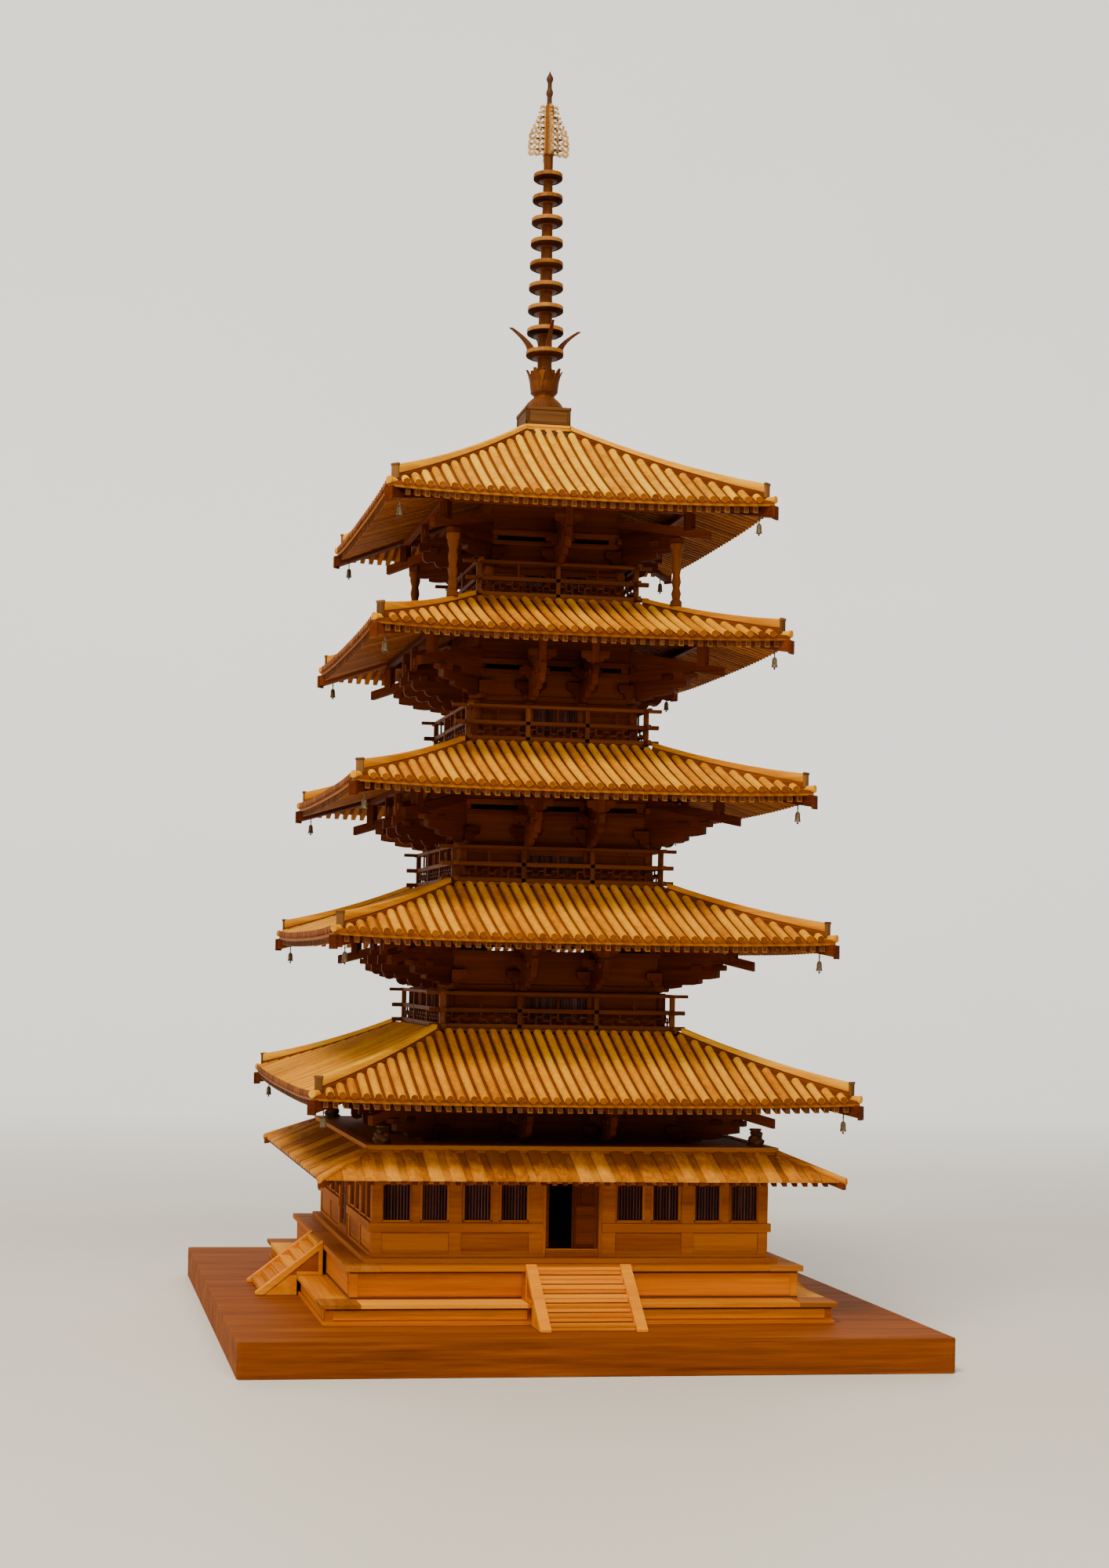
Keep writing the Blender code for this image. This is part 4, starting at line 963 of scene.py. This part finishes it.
# Skirt roof of overlapping boards, with the deck and carved figures above it
skirtRoof = {
    "eave": 0.2580,
    "inner": 0.2063,
    "low": 0.1365,
    "rise": 0.430,
    "pitch": 0.0208,            # from one board to the next
    "upperWide": 0.0140,
    "upperHigh": 0.0034,
    "lowerShort": 0.0018,       # the lower boards stop this far short of the eave
    "rafterPitch": 0.0104,
    "deckLow": 0.1628,
    "deckTop": 0.1673,
    "figureAt": 0.1885,
    "figure": (                 # radius and height of the turned block
        (0.0, 0.0), (0.0085, 0.0), (0.0088, 0.0024), (0.0066, 0.0034), (0.0078, 0.0056),
        (0.0072, 0.0090), (0.0046, 0.0112), (0.0058, 0.0134), (0.0050, 0.0152), (0.0064, 0.0162),
        (0.0064, 0.0178), (0.0, 0.0178)),
    "knobs": (                  # place and radius
        (0.0052, 0.0045, 0.0046, 0.0034), (-0.0052, 0.0045, 0.0046, 0.0034),
        (0.0060, 0.0020, 0.0092, 0.0030), (-0.0060, 0.0020, 0.0092, 0.0030), (0.0, 0.0052, 0.0126, 0.0032)),
}


def skirtHeight(reach):                          # upper face of the lower boards
    return boardTop + skirtRoof["low"] + (skirtRoof["eave"] - reach) * skirtRoof["rise"] + 0.0017


def makeSkirtRoof():
    bm = newMesh()
    outer, pitch, inside = skirtRoof["eave"], skirtRoof["pitch"], skirtRoof["inner"]
    start = outer - skirtRoof["lowerShort"]
    rows = int(outer / pitch) + 1
    for k in range(-rows, rows):                 # lower boards, darker with painted shade under the upper boards, their ends cut along the corners
        left = max(k * pitch + 0.0002, -start + 0.003)
        right = min((k + 1) * pitch - 0.0002, start - 0.003)

        def lowerPoint(a, b):
            x = blend(left, right, a)
            reach = blend(start, max(inside, abs(x)), b)
            return Vector((x, -reach, skirtHeight(reach)))

        if right - left > 0.003:
            addSheet(bm, 2, 1, lowerPoint, 0.0014, axis=1)
    finishFour("skirt_roof_lower_boards", bm, "lower_board_painted_shade_wood", ["skirt_roof"])
    bm = newMesh()
    for x, inner in rowsOver(outer, inside, pitch, 0.0052, 0.005):      # upper boards over the joints
        def upperPoint(co):
            reach = blend(outer, inner, co.y)
            return Vector((x + co.x * skirtRoof["upperWide"] / 2, -reach,
                           skirtHeight(reach) + 0.0002 + max(co.z, -0.25) * skirtRoof["upperHigh"]))

        addCopy(bm, upperBoard, upperPoint)

    def hipPoint(co):
        reach = blend(outer + 0.0006, inside, co.y)
        return Vector((co.x * 0.0034, -reach * root2, skirtHeight(reach) + 0.0010 + co.z * 0.0038))

    turn(bm, addCopy(bm, upperBoard, hipPoint), 45)
    finishFour("skirt_roof_upper_boards", bm, "skirt_board_wood", roundBelow=50)
    # Rafters and the corner beam under them
    bm = newMesh()
    for x, inner in rowsOver(outer, 0.2000, skirtRoof["rafterPitch"], 0.003, 0.006):
        addCopy(bm, straightBar, hungBar(x, outer - 0.0030, inner, 0.0046, 0.0044,
                                         lambda reach: skirtHeight(reach) - 0.0015))
    beam = hungBar(0, outer - 0.0006, inside - 0.0006, 0.0066, 0.0060,
                   lambda reach: skirtHeight(reach) - 0.0016, root2)
    turn(bm, addCopy(bm, straightBar, beam), 45)
    finishFour("skirt_roof_rafters", bm, "bracket_wood")


def makeDeck():
    bm = newMesh()
    low, high = boardTop + skirtRoof["deckLow"], boardTop + skirtRoof["deckTop"]
    for outer, inner, top in ((0.2070, 0.1985, high), (0.1983, 0.1318, high - 0.0008)):
        def place(a, b):
            reach = blend(outer, inner, b)
            return Vector(((2 * a - 1) * (reach - 0.0001), -reach, top))
        addSheet(bm, 1, 1, place, top - low)
    finishFour("skirt_roof_deck_boards", bm, "corner_block_wood", ["skirt_roof_deck"])
    bm = newMesh()
    verts = addTurned(bm, skirtRoof["figure"], 8, high)
    for x, y, z, size in skirtRoof["knobs"]:
        knob = bmesh.ops.create_icosphere(bm, subdivisions=1, radius=size)["verts"]
        bmesh.ops.translate(bm, vec=(x, -y, high + z), verts=knob)
        grainAlong(bm, knob, 2)
        verts += knob
    turn(bm, verts, 45)
    bmesh.ops.translate(bm, vec=(skirtRoof["figureAt"], -skirtRoof["figureAt"], 0), verts=verts)
    finishFour("corner_figures", bm, "plate_wood", roundBelow=40)


makeSkirtRoof()
makeDeck()
print("ground storey built")

# Podium, floor and stairs
podium = {
    "clear": 0.0545,            # half the gap that the boards leave for the stairs
    "blocks": ((0.0476, 0.0532, 0.2276, 0.1940), (0.0162, 0.0208, 0.2541, 0.2160)),
    "lines": ((0.0222, 0.2230), (0.0466, 0.2230), (0.0156, 0.2490)),
}


def makeBoardPair(name, wood, reach, front, back, low, high):      # one board on each side of the stairs
    bm = newMesh()
    for side in (-1, 1):
        addRaised(bm, (side * podium["clear"], -front, low), (side * reach, -back, high), 0.0003)
    finishFour(name, bm, wood)


def makePodium():
    bm = newMesh()
    for low, high, outer, inner in podium["blocks"]:
        addRaised(bm, (inner, -outer, low), (outer, -inner, high), 0.0004)
    finishFour("podium_corner_blocks", bm, "corner_block_wood")
    # Paler boards on the lower cap, between the corner blocks, painted light from above, and darker ones on
    # the upper cap
    makeBoardPair("podium_cap_boards", "stair_wood", 0.2159, 0.2538, 0.2234, 0.0164, 0.0207)
    makeBoardPair("podium_upper_cap", "wall_wood", 0.1939, 0.2273, 0.2020, 0.0478, 0.0531)
    bm = newMesh()
    addRaised(bm, (-0.2074, -0.2074, 0.0529), (0.2010, -0.2010, 0.0579), 0.0004)
    finishFour("floor_edge", bm, "wall_wood")
    makeBoardPair("upper_podium_panels", "podium_wood", 0.2150, 0.2239, 0.2220, 0.0240, 0.0448)
    # The lower panels take the paler stair wood: painted light from above
    makeBoardPair("lower_podium_panels", "stair_wood", 0.2420, 0.2499, 0.2480, 0.0052, 0.0145)
    # Painted shadow lines: narrow dark edges above and below the upper panels and above the lower ones
    bm = newMesh()
    for side in (-1, 1):
        for z, face in podium["lines"]:
            addRaised(bm, (side * podium["clear"], -face - 0.0002, z - 0.0009),
                      (side * (face - 0.0002), -face + 0.0010, z + 0.0009))
    finishFour("podium_painted_shadow_lines", bm, "plate_wood")


stair = {
    "steps": 7,
    "foot": 0.2960,             # from the middle of the model to the stair's foot and top
    "top": 0.2273,
    "rise": 0.0528,
    "back": 0.6,                # the first riser stands this share of a tread behind the foot
    "half": 0.0412,
    "gap": 0.0014,              # painted shadow line at the foot of each riser
    "outer": 0.0512,            # outer face of the sides
    "strip": 0.0044,            # width of the strips round the side panels
    "lift": 0.0025,
    "ledge": 0.0208,            # top of the lower podium's cap
}


def stairEdge(d, drop=0.0):                      # height of a stringer's upper edge
    share = (stair["foot"] - d) / (stair["foot"] - stair["top"])
    return stair["lift"] + stair["rise"] * share - drop


def stairPanel():
    top, ledge, end = stair["top"], stair["ledge"], 0.2640
    return [(top, ledge), (end, ledge), (end, stairEdge(end, 0.0020)), (top, stairEdge(top, 0.0020))]


def stairFrames():                               # slanted strip, post and foot strip of one side
    foot, strip, ledge = stair["foot"] - 0.0002, stair["strip"], stair["ledge"]
    back, front = stair["top"] + 0.0002, stair["top"] + strip
    under = stairEdge(stair["top"], strip * 1.4)
    return (
        [(foot, 0.0006), (foot, stairEdge(stair["foot"], 0.0002)), (back, stairEdge(stair["top"], 0.0002)),
         (back, under), (stair["foot"] - strip * 1.8, 0.0006)],
        [(back, ledge), (front, ledge), (front, stairEdge(front, strip * 1.4)), (back, under)],
        [(front, ledge), (0.2540, ledge), (0.2540, ledge + strip * 0.8), (front, ledge + strip * 0.8)])


def makeStairs():
    bm, dark = newMesh(), newMesh()
    steps, half, gap = stair["steps"], stair["half"], stair["gap"]
    run, rise = (stair["foot"] - stair["top"]) / steps, stair["rise"] / steps
    for step in range(steps):
        riser = stair["foot"] - run * (step + stair["back"])
        back = max(riser - run, stair["top"] + 0.0001)
        z = boardTop + rise * (step + 1) - 0.0010
        low = z - rise + (gap if step else 0.0020)
        addBar(bm, (-half, -riser - 0.0012, z - 0.0022), (half, -back, z + 0.0004), 0.0002)
        addBar(bm, (-half, -riser - 0.0007, low), (half, -riser + 0.0008, z - 0.0022), 0.0002)
        if step:
            # A dark bar in each gap is painted shadow
            addBar(dark, (-half, -riser - 0.0002, low - gap), (half, -riser + 0.0010, low))
    finishFour("stair_treads", bm, "stair_wood")
    frames, panels = newMesh(), newMesh()
    for side in (-1, 1):
        for pieces, outlines, proud in ((frames, stairFrames(), 0.0008), (panels, [stairPanel()], 0.0002)):
            for points in outlines:
                addOutline(pieces, [(side * stair["outer"], -d, boardTop + z) for d, z in points],
                           (side * proud, 0, 0), axis=1)
    finishFour("stair_side_frames", frames, "stair_wood")
    # The side panels' darker wood paints the shade of their recess
    finishFour("stair_side_panels", panels, "wall_wood")
    finishFour("stair_painted_shadow_lines", dark, "plate_wood")


makePodium()
makeStairs()
print("podium and stairs built")

# Props between the fourth roof and the top roof, and the crown of the top roof
prop = {
    "at": 0.1170,
    "profile": (                # radius, and height as a share of the whole
        (0.0, 0.0), (0.0062, 0.0), (0.0062, 0.07), (0.0040, 0.11), (0.0052, 0.20), (0.0036, 0.29),
        (0.0050, 0.39), (0.0038, 0.50), (0.0052, 0.62), (0.0040, 0.74), (0.0058, 0.84), (0.0058, 0.90),
        (0.0072, 0.93), (0.0072, 1.0), (0.0, 1.0)),
}


def makeProps():
    bm = newMesh()
    low = roofHeight(storeys[3], prop["at"], prop["at"]) + 0.0070
    tall = storeys[4]["wallTop"] + 0.0236 - low
    verts = addTurned(bm, [(radius, tall * share) for radius, share in prop["profile"]], 12, low)
    bmesh.ops.translate(bm, vec=(prop["at"], -prop["at"], 0), verts=verts)
    finishFour("roof_4_props", bm, "rail_wood", roundBelow=50)


def makeCrown():
    bm = newMesh()
    top = 0.9190
    addRaised(bm, (-0.0256, -0.0256, 0.9126), (0.0256, -0.0226, top), 0.0006)
    addRaised(bm, (-0.0262, -0.0262, top - 0.0032), (0.0262, -0.0226, top - 0.0004), 0.0005)
    # The crown takes the ridges' wood, painted paler for the light from above
    finishFour("roof_5_crown", bm, "ridge_painted_light_wood", roundBelow=40)
    # Painted shade: small dark plates where the crown's gaps between the ribs lie in shade
    bm = newMesh()
    z = roofHeight(storeys[4], 0.0290, 0) - roof["valley"]
    for k in (-2, -1, 0, 1):
        x = (k + 0.5) * storeys[4]["pitch"]
        addBar(bm, (x - 0.0026, -0.0322, z - 0.0026), (x + 0.0026, -0.0240, z + 0.0030))
    finishFour("roof_5_crown_painted_shade", bm, "plate_wood")


makeProps()
makeCrown()

# Spire
spire = {                       # profiles are given as radius and height above the foot of the piece
    "rings": 9,
    "first": 1.0000,            # heights of the lowest and the highest ring's middle
    "last": 1.1906,
    "lowRadius": 0.0200,
    "highRadius": 0.0155,
    "tall": 0.0074,
    "shaftLow": 0.0078,
    "shaftHigh": 0.0050,
    "dome": 0.9385,
    "domeProfile": (
        (0.0, 0.0003), (0.0220, 0.0003), (0.0223, 0.0016), (0.0214, 0.0030), (0.0204, 0.0048),
        (0.0184, 0.0080), (0.0156, 0.0110), (0.0124, 0.0136), (0.0110, 0.0154), (0.0112, 0.0166),
        (0.0122, 0.0176), (0.0132, 0.0188), (0.0144, 0.0220), (0.0152, 0.0262), (0.0156, 0.0310),
        (0.0, 0.0312)),
    "flameLow": 1.2150,
    "flameTop": 1.2690,
    "flameHalf": 0.0218,
    "flameRows": 9,
    "jewelProfile": (
        (0.0, 0.0003), (0.0030, 0.0003), (0.0027, 0.0030), (0.0026, 0.0090), (0.0030, 0.0102),
        (0.0037, 0.0120), (0.0038, 0.0136), (0.0035, 0.0154), (0.0028, 0.0170), (0.0024, 0.0185),
        (0.0024, 0.0245), (0.0030, 0.0258), (0.0037, 0.0276), (0.0037, 0.0294), (0.0028, 0.0315),
        (0.0014, 0.0340), (0.0004, 0.0368), (0.0, 0.0369)),
}


def makeRings():
    half, rings = spire["tall"] / 2, []
    for ring in range(spire["rings"]):
        share = ring / (spire["rings"] - 1)
        rings.append([blend(spire[start], spire[end], share) for start, end in (
            ("first", "last"), ("lowRadius", "highRadius"), ("shaftLow", "shaftHigh"))])
    bm = newMesh()
    profile = [(0.0, 0.9834), (0.0084, 0.9834), (spire["shaftLow"], 0.9855)]
    for middle, radius, shaft in rings:
        profile += [(shaft, middle - half - 0.0008), (radius * 0.82, middle - half),
                    (radius * 0.97, middle - half * 0.62), (radius, middle - half * 0.40),
                    (radius, middle + half * 0.84), (radius * 0.975, middle + half),
                    (shaft * 1.25, middle + half), (shaft, middle + half + 0.0012)]
    profile += [(spire["shaftHigh"], 1.2147), (0.0, 1.2147)]
    addTurned(bm, profile, 32, boardTop)
    # Painted shade on the lower and painted light on the upper part of each ring
    feet, tops = newMesh(), newMesh()
    for middle, radius, _ in rings:
        wide, base = radius + 0.0002, boardTop + middle
        addTurned(feet, [(0.0, -half - 0.0003), (wide * 0.82, -half - 0.0003), (wide * 0.97, -half * 0.64),
                         (wide, -half * 0.42), (wide, -half * 0.10), (0.0, -half * 0.10)], 32, base)
        addTurned(tops, [(0.0, -half * 0.06), (wide, -half * 0.06), (wide, half * 0.82),
                         (wide * 0.975, half + 0.0002), (0.0, half + 0.0002)], 32, base)
    finishPiece("spire_ring_painted_light", tops, "ring_painted_light_wood", roundBelow=35)
    finishPiece("spire_ring_painted_shade", feet, "ring_painted_shade_wood", roundBelow=35)
    # Four curved horns on the lowest ring
    base = boardTop + spire["first"] + half - 0.0003

    def hornPoint(co):
        out, thin = 0.0150 + 0.0225 * co.y ** 1.6, 1 - 0.5 * co.y
        return Vector((co.x * 0.0056 * thin, -out + co.z * 0.0084 * thin, base + 0.0236 * co.y))

    turnFour(bm, addCopy(bm, hipBar, hornPoint, axis=2))
    finishPiece("spire_rings_turned", bm, "spire_wood", ["spire_rings"], roundBelow=35)


def makeDome():
    bm = newMesh()
    base = boardTop + spire["dome"]
    addTurned(bm, spire["domeProfile"], 32, base)

    def outerPetal(co):
        out = 0.0140 + 0.0020 * co.y + 0.0042 * co.y ** 3 - co.x * co.x * 0.0050
        wide = 0.0112 * (1 - 0.70 * co.y ** 2.2)
        return Vector((co.x * wide, -out + co.z * 0.0014, base + 0.0196 + 0.0244 * co.y))

    def innerPetal(co):
        out = 0.0130 + 0.0010 * co.y + 0.0024 * co.y ** 3
        wide = 0.0104 * (1 - 0.6 * co.y ** 2)
        return Vector((co.x * wide, -out + co.z * 0.0014, base + 0.0230 + 0.0190 * co.y))

    # Two rows of lotus petals round the cup, leaning out at the top
    for petal, start in ((outerPetal, 0.0), (innerPetal, 22.5)):
        for k in range(8):
            turn(bm, addCopy(bm, hipBar, petal, axis=2), start + 45 * k)
    addTurned(bm, [(0.0, 0.0290), (0.0078, 0.0290), (0.0084, 0.0440), (0.0, 0.0442)], 16, base)
    finishPiece("spire_dome_turned", bm, "spire_wood", ["spire_dome"], roundBelow=50)


def addStrip(bm, line, wide, thick):             # a narrow curved strip cut from a thin board
    left, right = [], []
    for k, (x, z) in enumerate(line):
        before, after = line[max(k - 1, 0)], line[min(k + 1, len(line) - 1)]
        dx, dz = after[0] - before[0], after[1] - before[1]
        length = math.hypot(dx, dz)
        size = wide * (0.55 if k in (0, len(line) - 1) else 1.0) / 2
        left.append((x - dz / length * size, -thick / 2, z + dx / length * size))
        right.append((x + dz / length * size, -thick / 2, z - dx / length * size))
    return addOutline(bm, left + right[::-1], (0, thick, 0), axis=2)


def flameHalf(share):                            # half width of the openwork at a share of its height
    narrow = 0.62 * (max(0.0, share - 0.30) / 0.70) ** 1.3
    return spire["flameHalf"] * max(0.30, 1.0 - narrow)


def makeFlame():
    bm = newMesh()
    low, core, rows = boardTop + spire["flameLow"], 0.0040, spire["flameRows"]
    span = spire["flameTop"] - spire["flameLow"]
    cell = span * 0.97 / rows
    for row in range(rows):                      # rows of small open curls that touch one another
        middle = low + cell * (row + 0.5)
        wide = flameHalf((row + 0.5) / rows)
        count = max(1, round((wide - core) / cell))
        step = (wide - core) / count
        for k in range(count):
            x = core + step * (k + 0.5)
            for side in (-1, 1):
                curl = []
                for i, size in enumerate((1.0, 1.0, 1.0, 1.0, 0.95, 0.7, 0.4)):
                    angle = math.radians(40 * (row % 2) + 70 * k + 50 * i)
                    curl.append((side * (x + step * 0.50 * size * math.cos(angle)),
                                 middle + cell * 0.56 * size * math.sin(angle)))
                addStrip(bm, curl, 0.0023, 0.0023)
    for side in (-1, 1):                         # foot of the openwork
        addStrip(bm, [(side * core, low + 0.0012), (side * spire["flameHalf"], low + 0.0012)], 0.0022, 0.0021)
    turn(bm, pointsOf(bmesh.ops.duplicate(bm, geom=[*bm.verts, *bm.edges, *bm.faces])), 90)
    # The openwork's pale wood carries painted light from the bright backdrop
    finishPiece("spire_flame_openwork", bm, "flame_wood", ["spire_flame"])
    bm = newMesh()
    addPost(bm, 0, 0, core, low, low + span, 0.0006)
    addPost(bm, 0, 0, 0.0052, low, low + 0.0030, 0.0004)
    finishPiece("spire_flame_core", bm, "flame_core_wood")


def makeJewels():
    bm = newMesh()
    addTurned(bm, spire["jewelProfile"], 20, boardTop + spire["flameTop"])
    finishPiece("spire_jewels_turned", bm, "plate_wood", ["spire_jewels"], roundBelow=60)


def makeBoxFrame():                              # raised frame on each side of the box under the dome
    bm = newMesh()
    low, high, half = 0.9194, spire["dome"], 0.0237
    face, back, cap = -half - 0.0006, -half + 0.0010, -half - 0.0012
    addRaised(bm, (face, face, low), (-face, back, low + 0.0032), 0.0003)
    addRaised(bm, (cap, cap, high - 0.0036), (-cap, back, high - 0.0001), 0.0004)
    for side in (1, -1):
        addRaised(bm, (side * face, face, low + 0.0032),
                  (side * (0.0036 - half), back, high - 0.0036), 0.0003)
    finishFour("spire_box_frame", bm, "box_wood")


makeRings()
makeDome()
makeFlame()
makeJewels()
makeBoxFrame()
print("spire built")

# Bells under the corner rafters: the bell, the tongue in it and the ring it hangs from
bell = {
    "inset": 0.0125,            # from the eave
    "hook": 0.0118,             # under the upper face of the rafters
    "profile": (
        (0.0, -0.0072), (0.0010, -0.0074), (0.0021, -0.0084), (0.0026, -0.0104), (0.0027, -0.0140),
        (0.0031, -0.0166), (0.0034, -0.0172), (0.0029, -0.0172), (0.0024, -0.0150), (0.0, -0.0110)),
    "ring": ((0.0, -0.0046), (0.0011, -0.0036), (0.0, -0.0026)),
    "tongue": ((0.0, -0.0200), (0.0013, -0.0190), (0.0004, -0.0172), (0.0, -0.0100)),
}


def makeBells():
    bm = newMesh()
    for storey in storeys:
        reach = storey["eave"] - bell["inset"]
        hook = rafterHeight(storey, reach, reach) - bell["hook"]
        verts = addTurned(bm, bell["profile"], 12, hook)
        verts += addPost(bm, 0, 0, 0.0005, hook - 0.0076, hook + 0.0006)
        verts += addTurned(bm, bell["ring"], 8, hook)
        verts += addTurned(bm, bell["tongue"], 8, hook)
        bmesh.ops.translate(bm, vec=(reach, -reach, 0), verts=verts)
    finishFour("corner_bells", bm, "bell_brass", roundBelow=50)


makeBells()
print("bells hung")

# Stage: pale floor that sweeps up into a bright backdrop, soft light from above
def makeStage():
    bm = bmesh.new()
    ground, far, bend, high = cadBox[0].z - 0.0005, 3.2, 1.6, 9.0
    line = [(-9.0, ground), (far, ground)]
    for step in range(1, 13):
        angle = math.radians(7.5 * step)
        line.append((far + bend * math.sin(angle), ground + bend * (1 - math.cos(angle))))
    line.append((far + bend, high))
    verts = [bm.verts.new((-9.0, y, z)) for y, z in line]
    edges = [bm.edges.new(pair) for pair in zip(verts, verts[1:])]
    moved = pointsOf(bmesh.ops.extrude_edge_only(bm, edges=edges))
    bmesh.ops.translate(bm, vec=(18.0, 0, 0), verts=moved)
    bmesh.ops.recalc_face_normals(bm, faces=bm.faces)
    mesh = bpy.data.meshes.new("floor")
    bm.to_mesh(mesh)
    bm.free()
    mesh.shade_smooth()
    nodes = Nodes("pale_floor")
    place = nodes.add("TexCoord", output="Object")
    cloud = nodes.add("TexNoise", None, {"Vector": place, "Scale": 2.2, "Detail": 2.0})
    stops = ((0.3, (0.76, 0.73, 0.68)), (0.7, (0.80, 0.77, 0.72)))
    shade = nodes.add("ValToRGB", {"stops": stops}, {0: cloud})
    glow = nodes.add("MapRange", None, {"Value": nodes.split(place)[1], "From Min": 0.8, "From Max": 4.6})
    bright = nodes.add("ValToRGB", {"stops": ((0.0, (0, 0, 0)), (1.0, (0.97, 0.97, 0.94)))}, {0: glow})
    mesh.materials.append(nodes.finish({"Base Color": shade, "Roughness": 0.6, "Emission Color": bright,
                                        "Emission Strength": 1.0}))
    floor = bpy.data.objects.new("floor", mesh)
    bpy.context.scene.collection.objects.link(floor)
    world = bpy.data.worlds.new("studio")
    world.use_nodes = True
    sky = world.node_tree.nodes["Background"].inputs
    sky["Color"].default_value = (1.0, 0.90, 0.76, 1.0)
    sky["Strength"].default_value = 0.26
    bpy.context.scene.world = world


def addLamp(name, place, target, size, power, colour):
    data = bpy.data.lights.new(name, "AREA")
    data.shape = "SQUARE"
    data.size = size
    data.energy = power
    data.color = colour
    lamp = bpy.data.objects.new(name, data)
    lamp.location = place
    lamp.rotation_euler = (Vector(target) - Vector(place)).to_track_quat("-Z", "Y").to_euler()
    bpy.context.scene.collection.objects.link(lamp)


makeStage()
addLamp("top_light", (-1.1, -1.7, 3.4), (0, 0, 0.7), 1.1, 132, (1.0, 0.89, 0.72))
addLamp("front_light", (0.5, -3.4, 2.3), (0, 0, 0.3), 1.4, 60, (1.0, 0.89, 0.72))
addLamp("left_light", (-3.0, -0.8, 0.35), (0, 0, 0.75), 1.2, 26, (1.0, 0.88, 0.68))

# Camera as in the photograph
camera = {
    "place": (-0.522, -2.360, 0.375), "yaw": 8.877, "pitch": 0.607, "roll": 1.1175,
    "focal": 2872.2, "frame": 2000, "shiftX": 0.1035, "shiftY": 0.1000,
}


def makeCamera():
    yaw, pitch, roll = (math.radians(camera[key]) for key in ("yaw", "pitch", "roll"))
    forward = Vector((math.sin(yaw) * math.cos(pitch), math.cos(yaw) * math.cos(pitch), math.sin(pitch)))
    level = Vector((math.cos(yaw), -math.sin(yaw), 0))
    upright = level.cross(forward)
    right = math.cos(roll) * level + math.sin(roll) * upright
    top = math.cos(roll) * upright - math.sin(roll) * level
    data = bpy.data.cameras.new("camera")
    data.sensor_fit = "VERTICAL"
    data.sensor_height = 36.0
    data.lens = camera["focal"] / camera["frame"] * 36.0
    data.shift_x, data.shift_y = camera["shiftX"], camera["shiftY"]
    data.clip_start = 0.05
    thing = bpy.data.objects.new("camera", data)
    turnTo = Matrix((right, top, -forward)).transposed().to_4x4()
    thing.matrix_world = Matrix.Translation(camera["place"]) @ turnTo
    bpy.context.scene.collection.objects.link(thing)
    bpy.context.scene.camera = thing


makeCamera()
for mesh in patterns:
    bpy.data.meshes.remove(mesh)
print("stage ready")
